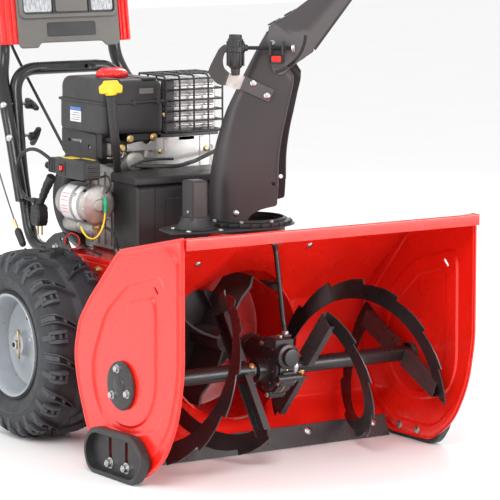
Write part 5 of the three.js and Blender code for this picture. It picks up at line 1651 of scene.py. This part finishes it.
def carburetor_cover():
    outline = rounded([(697, 586, 6), (697, 653, 8), (850, 659, 8), (850, 604, 8), (800, 586, 8)], 6)
    hollow = rounded([(701, 590, 4), (701, 649, 5), (846, 655, 5), (846, 607, 4), (799, 590, 4)], 4)
    shell = Shape().prism("x", outline, -151.6, -101, 2.4)
    room = Shape().prism("x", hollow, -148, -90, 0.1)
    slot = Shape()
    slot.prism("x", rounded([(757, 629, 3), (819, 628, 3), (820, 634, 3), (757, 636, 3)], 5), -160, -140, 0.1)
    slot.prism("x", circle((728, 622), 5, 24), -160, -140, 0.1)
    piece("carburetor_box", shell, "plastic", replaces=["carburetor_cover"], cuts=[room, slot],
          bevel=0.8)
    knob = Shape()
    knob.rod("x", 3, -152.6, -140, (764, 631), 20, 1)
    piece("choke_pin", knob, "steel")
    lever = Shape()
    lever.rod("x", 4, -150, -120, (728, 620), 20, 1)
    lever.box(-146, -120, 705, 845, 600, 640, 3)
    piece("carburetor_body", lever, "cast", bevel=0.8)


crankcase()
governor_side()
belt_cover()
recoil_side()
fuel_tank()
fuel_cap()
dipstick()
muffler()
muffler_guard()
carburetor_cover()


# ---- electric starter --------------------------------------------------------------------------

STARTER = (-190, 507)
SOLENOID = (-182, 455)


def starter():
    can = Shape()
    can.turned("y", [(638, 39), (639, 42), (642, 43.4), (722, 43.4), (725, 42), (726, 30)], STARTER, 64)
    can.turned("y", [(725, 32), (728, 34), (752, 34), (757, 30), (760, 20)], STARTER, 64)
    piece("starter_can", can, "cast", replaces=["starter_motor"])
    cap = Shape()
    cap.turned("y", [(620, 8), (620.4, 17), (622, 20), (623, 34), (625, 39), (628, 42), (632, 43.8),
                     (638, 44), (640, 43.6), (640.4, 30)], STARTER, 64)
    cap.turned("y", [(616, 6), (616.6, 12), (620, 14), (624, 14)], STARTER, 40)
    for degrees in (70, 190, 310):
        x, z = on_circle(STARTER, 36, degrees)
        cap.rod("y", 8, 628, 672, (x, z), 24, 2)
    piece("starter_end_cap", cap, "cast", bevel=0.6)
    screws = Shape()
    for degrees in (70, 190, 310):
        x, z = on_circle(STARTER, 36, degrees)
        screws.hex_bolt((x, 628.4, z), (0, -1, 0), 8, 5)
    screws.rod("x", 3, -234, -228, (654, 530), 16, 0.6)
    piece("starter_screws", screws, "steel")
    # Near-black discs on the starter's end cap: painted shade for its two vent holes.
    slots = Shape()
    for degrees, y in ((131, 632), (228, 632)):
        x, z = on_circle(STARTER, 43.2, degrees)
        slots.aimed((x, y, z), (x - STARTER[0], 0, z - STARTER[1]))
        slots.rod("z", 4.6, -1, 1.1, (0, 0), 24, 0.2)
    slots.straight()
    piece("starter_vent_shade", slots, "hole")
    for name, y0, y1, look in (("wide", 676, 714, "label"), ("narrow", 644, 662, "label")):
        wrap = Shape()
        grids = []
        for radius in (44.3, 43.2):
            line = arc(STARTER, radius, 118, 226, 24)
            grids.append([[(x, y, z) for y in (y0, (y0 + y1) / 2, y1)] for x, z in line])
        wrap.slab(*grids)
        piece(f"starter_label_{name}", wrap, look)
    rules = Shape()
    for degrees in (150, 160, 170, 186, 194, 204):
        x, z = on_circle(STARTER, 44.4, degrees)
        rules.aimed((x, 695, z), (x - STARTER[0], 0, z - STARTER[1]))
        rules.box(-14, 13, -0.6, 0.6, -0.6, 0.4, 0.1)
    rules.straight()
    piece("starter_label_rules", rules, "red_plastic")
    coil = Shape()
    coil.turned("y", [(640, 8), (641, 14), (644, 16.6), (690, 17), (694, 15), (697, 15), (700, 17),
                      (764, 17), (769, 14), (770, 8)], SOLENOID, 40)
    coil.box(-196, -168, 652, 758, 456, 478, 2)
    coil.ring("y", 18.6, 15, 704, 712, SOLENOID, 40, 1)
    piece("solenoid", coil, "cast", bevel=0.6)
    studs = Shape()
    for x in (-188, -172):
        studs.rod("y", 3, 628, 642, (x, 458), 16, 0.8)
        studs.prism("y", circle((x, 458), 5.6, 6), 634, 639, 0.6)
    studs.rod("z", 3, 470, 490, (-196, 648), 16, 0.8)
    piece("solenoid_studs", studs, "gold")


def wiring():
    sleeve = Shape()
    sleeve.tube(curved([(-178, 616, 524), (-179, 613, 508), (-180, 612, 492)], 4), [4.6] * 5 + [3.6] * 4,
                18, 1)
    piece("wire_sleeve", sleeve, "green")
    yellow = Shape()
    yellow.tube(curved([(-180, 612, 494), (-184, 610, 474), (-194, 606, 454), (-208, 606, 440),
                        (-222, 610, 440), (-230, 620, 452), (-226, 636, 462)]), 2, 12)
    yellow.tube(curved([(-150, 610, 412), (-140, 600, 402), (-136, 592, 388)]), 2, 12)
    piece("wire_yellow", yellow, "yellow")
    red = Shape()
    red.tube(curved([(-176, 790, 400), (-180, 784, 418), (-176, 766, 430), (-172, 742, 424),
                     (-172, 738, 408), (-174, 752, 398), (-176, 770, 396)]), 1.8, 12)
    piece("wire_red", red, "red_plastic")
    black = Shape()
    black.tube(curved([(-168, 800, 420), (-172, 780, 430), (-168, 756, 418), (-166, 730, 404),
                       (-160, 700, 396), (-150, 680, 390)]), 2.6, 12)
    black.tube(curved([(-196, 644, 474), (-204, 640, 500), (-210, 632, 540), (-204, 628, 568)]), 2.4, 12)
    black.tube(curved([(-182, 628, 566), (-172, 616, 570), (-166, 612, 550), (-176, 616, 532)]), 2.4, 12)
    black.tube(curved([(-172, 628, 458), (-164, 612, 450), (-158, 606, 430), (-150, 606, 404)]), 3, 12)
    piece("wire_black", black, "rubber")


def switch_box():
    x0, x1, y0, y1, z0, z1 = -232, -192, 612, 730, 563, 605
    outline = rounded([(x0, y0, 8), (x1, y0, 8), (x1, y1, 8), (x0, y1, 8)], 6)
    shape = Shape().prism("z", outline, z0, z1, 3)
    shape.box(-222, -193, y1 - 4, 785.4, 566, 599, 3)
    for i in range(4):
        shape.box(-223.2, -192, 758 + 7 * i, 761 + 7 * i, 567, 598, 1)
    well = Shape().box(x0 - 2, x0 + 12, 697, 717, 573, 593, 1)
    piece("switch_case", shape, "plastic", replaces=["starter_switch_box"], cuts=[well], bevel=0.8)
    frame_shape = Shape()
    frame_shape.prism("x", rounded([(692, 568, 3), (722, 568, 3), (722, 598, 3), (692, 598, 3)], 4),
                      x0 - 1.4, x0 + 2, 0.6)
    opening = Shape().prism("x", circle((707, 583), 8.6, 32), x0 - 6, x0 + 6, 0.1)
    piece("switch_bezel", frame_shape, "rubber", cuts=[opening])
    button = Shape().turned("x", [(-237, 0.5), (-236.6, 4.5), (-235.8, 5.9), (-225, 6.4), (-225, 1)],
                            (707, 583), 40)
    piece("start_button_cap", button, "red_plastic", "start_button", replaces=["starter_button"])
    label = Shape().box(-229, -206, 672, 712, 604.6, 606, 0.2)
    label.box(-204, -197, 622, 670, 604.6, 605.8, 0.2)
    piece("switch_label", label, "yellow")
    connector = Shape()
    connector.box(-229, -196, 604, 616, 566, 602, 2.4)
    for z in (572, 581, 590):
        connector.box(-226, -199, 602, 606, z, z + 5, 1)
    piece("switch_connector", connector, "rubber", bevel=0.5)


starter()
wiring()
switch_box()


# ---- handles -----------------------------------------------------------------------------------

TUBE = 14.5
PADDLE_X = 155  # the paddles and their pins stand this far to each side
PADDLE_PIVOT = (1289, 994)
LOWER_RUN = [(157, 826, 383), (157, 980, 374), (153, 1034, 544), (137, 1093, 767)]
UPPER_RUN = [
    (184, 976, 480), (181, 1026, 619), (176, 1061, 690), (158, 1108, 755), (147, 1123, 802),
    (144, 1132, 880), (148, 1200, 955), (155, 1290, 968), (158, 1430, 972),
]


def mirrored(points, sign):
    return [(sign * x, y, z) for x, y, z in points]


def lower_bar():
    run = [*mirrored(LOWER_RUN, -1), *LOWER_RUN[::-1]]
    shape = Shape().tube(bent(run, 60, 14), TUBE, 32, 2)
    holes = Shape().rod("y", 5.6, 1070, 1094, (46, 768), 20, 0.1)
    piece("bar_lower", shape, "tube", replaces=["handle_lower_bar"], cuts=[holes])
    plates = Shape()
    for sign in (-1, 1):
        line = rounded([(760, 340, 8), (762, 384, 10), (800, 430, 12), (846, 420, 12), (884, 398, 10),
                        (884, 366, 10), (836, 340, 10)], 6)
        plates.prism("x", line, *span(sign, 171.6, 175.8), 0.8)
        plates.box(*span(sign, 165.5, 173), 768, 814, 344, 372, 1)
        plates.box(*span(sign, 158, 173), 838, 872, 366, 394, 1)
        plates.box(*span(sign, 174, 199), 880, 884, 340, 370, 0.8)
    cuts = Shape()
    for sign in (-1, 1):
        for y, z in ((812, 412), (840, 352), (864, 382)):
            cuts.rod("x", 5, *span(sign, 168, 180), (y, z), 24, 0.1)
    piece("bar_brackets", plates, "black", cuts=[cuts], bevel=0.6)
    bolts = Shape()
    for sign in (-1, 1):
        for y, z in ((771, 368), (833, 391), (848, 358)):
            bolts.hex_bolt((sign * 175.8, y, z), (sign, 0, 0), 12, 7, 9)
    piece("bar_bracket_bolts", bolts, "steel")


def upper_bar():
    shape = Shape()
    for sign in (-1, 1):
        shape.tube(curved(mirrored(UPPER_RUN, sign), 8), TUBE, 32, 2)
    shape.rod("x", 12, -144, 144, (1132, 880), 32, 1)
    for sign in (-1, 1):
        x = sign * PADDLE_X
        shape.box(x - 19, x + 19, 1280, 1298, 958, 970, 1)
        for side in (-1, 1):
            u = x + side * 17
            ear = rounded([(1278, 964), (1300, 964), (1300, 1000, 8), (1289, 1006, 6),
                           (1278, 1000, 8)], 4)
            shape.prism("x", ear, u - 2, u + 2, 0.6)
    piece("bars_upper", shape, "tube", replaces=["handle_upper_bar"])
    pins = Shape()
    for sign in (-1, 1):
        x = sign * PADDLE_X
        pins.rod("x", 3.4, x - 22, x + 22, PADDLE_PIVOT, 20, 0.8)
        pins.rod("x", 6, x - 22, x - 19.2, PADDLE_PIVOT, 20, 0.6)
    piece("paddle_pins", pins, "steel")
    grips = Shape()
    for sign in (-1, 1):
        start, end = Vector((sign * 155.5, 1306, 968.6)), Vector((sign * 158, 1432, 972))
        line, radii = [], []
        for i in range(85):
            share = i / 84
            line.append(start.lerp(end, share))
            ridge = 1.2 if 6 < i < 78 and i % 6 < 3 else 0
            flange = 1.6 if i < 4 or i > 80 else 0
            radii.append(16.6 + ridge + flange)
        grips.tube(line, radii, 32, 1.5)
    piece("hand_grips", grips, "rubber", sharp=50)
    studs = Shape()
    for sign in (-1, 1):
        for (x, y, z), thread_y in ((UPPER_RUN[2], 1070), (UPPER_RUN[1], 1052)):
            studs.dome_bolt((sign * (x + 10.6), y - 9.4, z), (sign * 0.75, -0.66, 0), 8.4, 4.2)
            studs.rod("x", 4, *span(sign, 114, 170), (thread_y, z), 20, 0.6)
    piece("bar_carriage_bolts", studs, "steel")
    knobs = Shape()
    for sign in (-1, 1):
        for y, z, degrees in ((1066, 688, 20), (1050, 616, -50)):
            turn = Matrix.Rotation(math.radians(degrees), 4, "X")
            knobs.place = Matrix.Translation((sign * 112, y, z)) @ turn
            low, high = span(sign, -6, 10)
            knobs.turned("x", [(low, 8), (low + 2, 10), (high - 2, 11), (high, 9)], (0, 0), 28)
            wing = rounded([(-27, -5, 6), (-9, -8, 6), (9, -8, 6), (27, -5, 6), (27, 5, 6),
                            (9, 8, 6), (-9, 8, 6), (-27, 5, 6)], 5)
            low, high = span(sign, -12, 0)
            knobs.prism("x", wing, low, high, 2.4)
    knobs.straight()
    piece("wing_knobs", knobs, "plastic", bevel=0.8)


def paddles():
    for name, sign, body in (("auger", 1, "auger_lever"), ("traction", -1, "traction_lever")):
        x = sign * PADDLE_X
        blade = rounded([(1282, 990, 8), (1300, 996, 8), (1350, 1020, 22), (1424, 1021, 3),
                         (1425, 1028, 3), (1346, 1028, 22), (1292, 1009, 10), (1280, 1002, 6)], 8)
        shape = Shape().prism("x", blade, x - 14.6, x + 14.6, 2.2)
        shape.rod("x", 8, x - 14, x + 14, PADDLE_PIVOT, 32, 1)
        for i in range(6):
            shape.box(x - 10, x + 10, 1356 + 11 * i, 1360 + 11 * i, 1026.4, 1029, 0.8)
        bore = Shape().rod("x", 3.8, x - 30, x + 30, PADDLE_PIVOT, 24, 0.1)
        piece(f"{name}_paddle_blade", shape, "red_plastic" if sign > 0 else "plastic", body,
              replaces=[f"{name}_paddle"], cuts=[bore], bevel=0.6)


# ---- console -----------------------------------------------------------------------------------

PANEL_FOOT = (1072, 815)
PANEL_TOP = (1096, 985)
DECK_START = (1104, 985)
DECK_END = (1236, 1002)


def leaning_place(shape, start, end):
    """What follows is laid out on a face that leans from start to end, both as (y, z)."""
    run = Vector((0, end[0] - start[0], end[1] - start[1])).normalized()
    out = Vector((0, -run.z, run.y))
    turn = Matrix(((1, 0, 0), (0, run.y, out.y), (0, run.z, out.z))).to_4x4()
    shape.place = Matrix.Translation((0, *start)) @ turn
    return shape


def panel_place(shape):
    """The front panel: x across, y up along it, z out of it."""
    return leaning_place(shape, PANEL_FOOT, PANEL_TOP)


def deck_place(shape):
    """The deck: x across, y back along it, z out of it."""
    return leaning_place(shape, DECK_START, DECK_END)


def console_panel():
    line = rounded([(1098, 980, 3), (1104, 985, 4), (1236, 1002), (1236, 998), (1108, 981, 4),
                    (1102, 978, 2)], 4)
    shape = Shape().prism("x", line, -121.6, 121.6, 0.8)
    cuts = Shape().box(4, 16, 1140, 1224, 970, 1020, 0.5)
    cuts.box(-92, -44, 1161, 1192, 970, 1020, 2)
    piece("panel_shell", shape, "grey", replaces=["console_panel"], cuts=[cuts], bevel=1.0)
    face = panel_place(Shape())
    face_line = rounded([
        (-133, 8, 8), (-126, 0, 4), (-82, 0, 4), (-75, 11, 6), (86, 11, 6), (96, 0, 4), (126, 0, 6),
        (134, 10, 8), (134, 172, 10), (-133, 172, 10),
    ], 5)
    face.prism("z", face_line, -4, 0.4, 1.6)
    piece("panel_face", face, "grey", bevel=1.0)
    ribs = Shape()
    rib = rounded([(1080, 832), (1100, 976, 6), (1202, 993, 6), (1194, 930, 10), (1118, 900, 10),
                   (1104, 868, 8)], 5)
    for sign in (-1, 1):
        ribs.prism("x", rib, *span(sign, 118.2, 121.4), 0.8)
    piece("panel_ribs", ribs, "grey")
    edge = panel_place(Shape())
    frame_line = rounded([(-128, 66, 18), (130, 66, 18), (130, 167, 12), (-128, 167, 12)], 8)
    opening = rounded([(-120, 76, 12), (122, 76, 12), (122, 159, 8), (-120, 159, 8)], 8)
    edge.prism("z", frame_line, -1, 6, 2.4)
    hollow = panel_place(Shape()).prism("z", opening, 0.4, 12, 0.1)
    piece("lamp_bezel", edge, "grey", cuts=[hollow], bevel=1.0)
    tray = panel_place(Shape()).prism("z", inset(opening, -1), -0.6, 0.9, 0.2)
    for x in (-38, 56):
        tray.prism("z", [(x - 2, 78), (x + 2, 78), (x + 3, 157), (x - 3, 157)], 0.4, 3.6, 0.4)
    piece("lamp_tray", tray, "plastic")
    middle = panel_place(Shape())
    middle.prism("z", rounded([(-33, 80, 5), (51, 80, 5), (51, 156, 5), (-33, 156, 5)], 5), 0.6, 4, 1.4)
    piece("lamp_divider", middle, "grey", bevel=0.8)
    lenses = panel_place(Shape())
    flutes = panel_place(Shape())
    for low, high in ((-116, -43), (61, 118)):
        line = rounded([(low, 81, 7), (high, 81, 7), (high, 154, 7), (low, 154, 7)], 6)
        lenses.prism("z", line, 0.6, 3.6, 1.2)
        for i in range(6):
            x = low + (high - low) * (i + 0.5) / 6
            flute = [(x - 1, 88), (x + 1, 88), (x + 1, 147), (x - 1, 147)]
            flutes.prism("z", flute, 3, 4.4, 0.5)
    piece("lamp_lenses", lenses, "lens")
    piece("lamp_flutes", flutes, "cast")
    badge = panel_place(Shape())
    badge.prism("z", rounded([(-58, 25, 6), (70, 25, 6), (70, 57, 6), (-58, 57, 6)], 5), -1, 1.6, 0.6)
    piece("badge_plate", badge, "plastic")


CHEEK_SIDE = (122.6, 173.4)


def cheek_slope(x):
    """How far the cheek's front falls back towards its outer edge."""
    share = (x - CHEEK_SIDE[0]) / (CHEEK_SIDE[1] - CHEEK_SIDE[0])
    return 15 * max(share, 0) ** 1.6


def cheek_strip(shape, sign, outline, low, high, proud=0.0):
    """An outline of (y, z) drawn across the cheek's sloping front, rounded at both sides."""
    rings = []
    for i in range(9):
        x = low + (high - low) * i / 8
        fall = cheek_slope(x) - proud * math.sin(math.pi * i / 8) ** 0.7
        rings.append([(sign * x, y + fall, z) for y, z in outline])
    shape.skin(rings)


def console_cheek(name, sign):
    """A red moulding beside the panel, with ridges that run down its front."""
    shape = Shape()
    front = rounded([(1078, 824), (1102, 987, 10), (1106, 987), (1082, 824)], 5)
    cheek_strip(shape, sign, front, *CHEEK_SIDE)
    wall = rounded([(1095, 833), (1117, 988, 10), (1238, 1005), (1238, 986, 10), (1126, 856, 16)], 6)
    shape.prism("x", wall, *span(sign, 170.2, 173.4), 0.8)
    shape.prism("x", [(1103, 984), (1103, 988), (1239, 1006), (1239, 1002)],
                *span(sign, 122.6, 173.4), 0.8)
    for x, width in ((140, 8), (152, 12), (166, 10)):
        ridge = rounded([(1079, 827, 1), (1102.6, 984, 8), (1105, 984), (1082, 827)], 4)
        cheek_strip(shape, sign, ridge, x - width / 2, x + width / 2, 6)
    piece(f"cheek_{name}", shape, "red_plastic", replaces=[f"console_cheek_{name}"], bevel=0.9)
    screws = Shape()
    for y in (1130, 1200):
        screws.dome_bolt((sign * 146, y, 988.6 + (y - 1103) * 0.132), (0, -0.13, 0.99), 5, 2.4)
    piece(f"cheek_screws_{name}", screws, "steel")


def deck_controls():
    plate = deck_place(Shape())
    quadrant = rounded([(-14, 24, 8), (34, 24, 8), (34, 128, 8), (-14, 128, 8)], 5)
    plate.prism("z", quadrant, -1, 1.2, 0.5)
    slot = Shape().box(3.4, 16.6, 1138, 1226, 960, 1030, 0.1)
    piece("speed_gate", plate, "plastic", cuts=[slot], bevel=0.4)
    marks = deck_place(Shape())
    for i in range(7):
        y = 42 + 11 * i
        marks.box(20, 30 if i % 2 else 26, y - 0.8, y + 0.8, 0.6, 1.8, 0.2)
    piece("speed_marks", marks, "label")
    ring = deck_place(Shape())
    ring.prism("z", rounded([(-96, 50, 12), (-40, 50, 12), (-40, 96, 12), (-96, 96, 12)], 6), -1, 1.6, 0.6)
    gap = Shape().box(-92, -44, 1161, 1192, 960, 1030, 2)
    piece("stick_gate", ring, "plastic", cuts=[gap], bevel=0.4)
    buttons = deck_place(Shape())
    for x in (62, 92):
        buttons.prism("z", rounded([(x - 11, 52, 4), (x + 11, 52, 4), (x + 11, 84, 4), (x - 11, 84, 4)], 4),
                      -1, 2.6, 0.8)
    piece("deck_pads", buttons, "rubber")
    screws = deck_place(Shape())
    for x in (-112, 112):
        for y in (14, 120):
            screws.rod("z", 4.4, -1, 2, (x, y), 20, 0.8)
    piece("deck_screws", screws, "steel")
    pins = Shape().rod("x", 5, -2, 120, (1182, 940), 24, 0.8)
    pins.rod("y", 4, 1156, 1186, (-68, 950), 24, 0.8)
    pins.box(-76, -60, 1154, 1158, 940, 986, 0.8)
    piece("lever_pins", pins, "steel")


def levers():
    stalk = Shape()
    stalk.ring("x", 9, 5.5, 1, 19, (1182, 940), 32, 0.8)
    stalk.tube([(10, 1182, 946.5), (10, 1181.5, 980), (10, 1180, 1062)], 4.5, 24, 0.6)
    piece("speed_stalk", stalk, "steel", "speed_selector")
    knob = Shape().turned("z", [(1049, 7), (1051, 9), (1056, 12), (1064, 13.8), (1072, 13.9),
                                (1079, 12), (1083, 8), (1084.8, 3), (1085, 0.5)], (10, 1180), 40)
    for i in range(10):
        x, y = on_circle((10, 1180), 13.2, 36 * i)
        knob.rod("z", 1.4, 1056, 1076, (x, y), 10, 0.6)
    piece("speed_knob", knob, "plastic", "speed_selector", replaces=["speed_lever"])
    stick = Shape()
    stick.ring("y", 9, 4.5, 1166, 1184, (-68, 950), 32, 0.8)
    stick.tube([(-68, 1175, 956), (-68, 1175, 990), (-68, 1175, 1034)], 4.5, 24, 0.6)
    piece("stick_stalk", stick, "steel", "joystick")
    boot = Shape()
    profile = []
    for i in range(9):
        profile += [(996 + 2.6 * i, 13 - i), (997.3 + 2.6 * i, 11.4 - i)]
    boot.turned("z", [*profile, (1019, 5)], (-68, 1175), 32)
    top = Shape().turned("z", [(1020, 5), (1024, 8), (1030, 11.6), (1038, 13), (1046, 12), (1052, 8),
                               (1055, 3), (1055.2, 0.5)], (-68, 1175), 40)
    piece("stick_boot", boot, "rubber", "joystick", sharp=60)
    piece("stick_knob", top, "plastic", "joystick", replaces=["chute_joystick"])


CABLE_ROUTE = [
    (-165, 1289, 954.5), (-165, 1289, 944), (-180, 1240, 850), (-196, 1140, 680), (-202, 1044, 533),
    (-201, 968, 420), (-198, 944, 382), (-191, 918, 357), (-188, 884.6, 354),
]


def control_lines():
    rod = Shape()
    run = [(-97, 1185, 836), (-97, 1169, 809), (-97, 1102, 746), (-120, 904, 612), (-120, 852, 566)]
    rod.tube(curved(run, 6), 3.6, 16)
    rod.rod("x", 4, -101, -61, (1185, 836), 20, 0.8)
    piece("control_rod", rod, "tube")
    cable = Shape().tube(curved(CABLE_ROUTE[:7], 8), 1.9, 12, 0.3)
    cable.tube(curved([(-197, 940, 378), (-191, 918, 357), (-188, 884.6, 354)], 5), 2.4, 12, 0.3)
    piece("cable_sheath", cable, "grey")
    ends = Shape()
    ends.tube([(-201.6, 980, 438), (-201.3, 974, 429), (-201, 966, 417)], 3.6, 18, 0.6)
    ends.tube([(-165, 1289, 955), (-165, 1289, 948), (-166, 1286, 940)], 3.6, 18, 0.6)
    piece("cable_ferrules", ends, "gold")
    boot = Shape()
    start, end = Vector((-201, 968, 420)), Vector((-198, 944, 382))
    radii = [4.6, 7.6, 8.6, 8.9, 8.9, 8.4, 8.8, 8.2, 8.6, 7.8, 8.2, 7.2, 5.6]
    boot.tube([start.lerp(end, i / 12) for i in range(13)], radii, 24, 1)
    piece("cable_boot", boot, "rubber", replaces=["clutch_cable"])


lower_bar()
upper_bar()
paddles()
console_panel()
sides(console_cheek)
deck_controls()
levers()
control_lines()


# ---- pieces that keep their CAD shape ----------------------------------------------------------

KEPT = {
    "impeller_pulley": "steel",
    "engine_pulley": "steel",
    "auger_belt": "rubber",
    "friction_wheel": "rubber",
    "friction_disc": "steel",
}
for name, look in KEPT.items():
    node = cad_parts[name]
    node.data.materials.clear()
    node.data.materials.append(LOOKS[look])


# ---- floor and close ---------------------------------------------------------------------------


def add_floor():
    data = bpy.data.meshes.new("studio_floor")
    reach = 14
    data.from_pydata(
        [(-reach, -reach, 0), (reach, -reach, 0), (reach, reach, 0), (-reach, reach, 0)],
        [],
        [(0, 1, 2, 3)],
    )
    floor = bpy.data.objects.new("studio_floor", data)
    bpy.context.scene.collection.objects.link(floor)
    pale = Look("studio_floor", (0.93, 0.93, 0.93), (0.92, 0.92, 0.92), (0.7, 0.8))
    pale.vary(3)
    data.materials.append(pale.done())


add_floor()
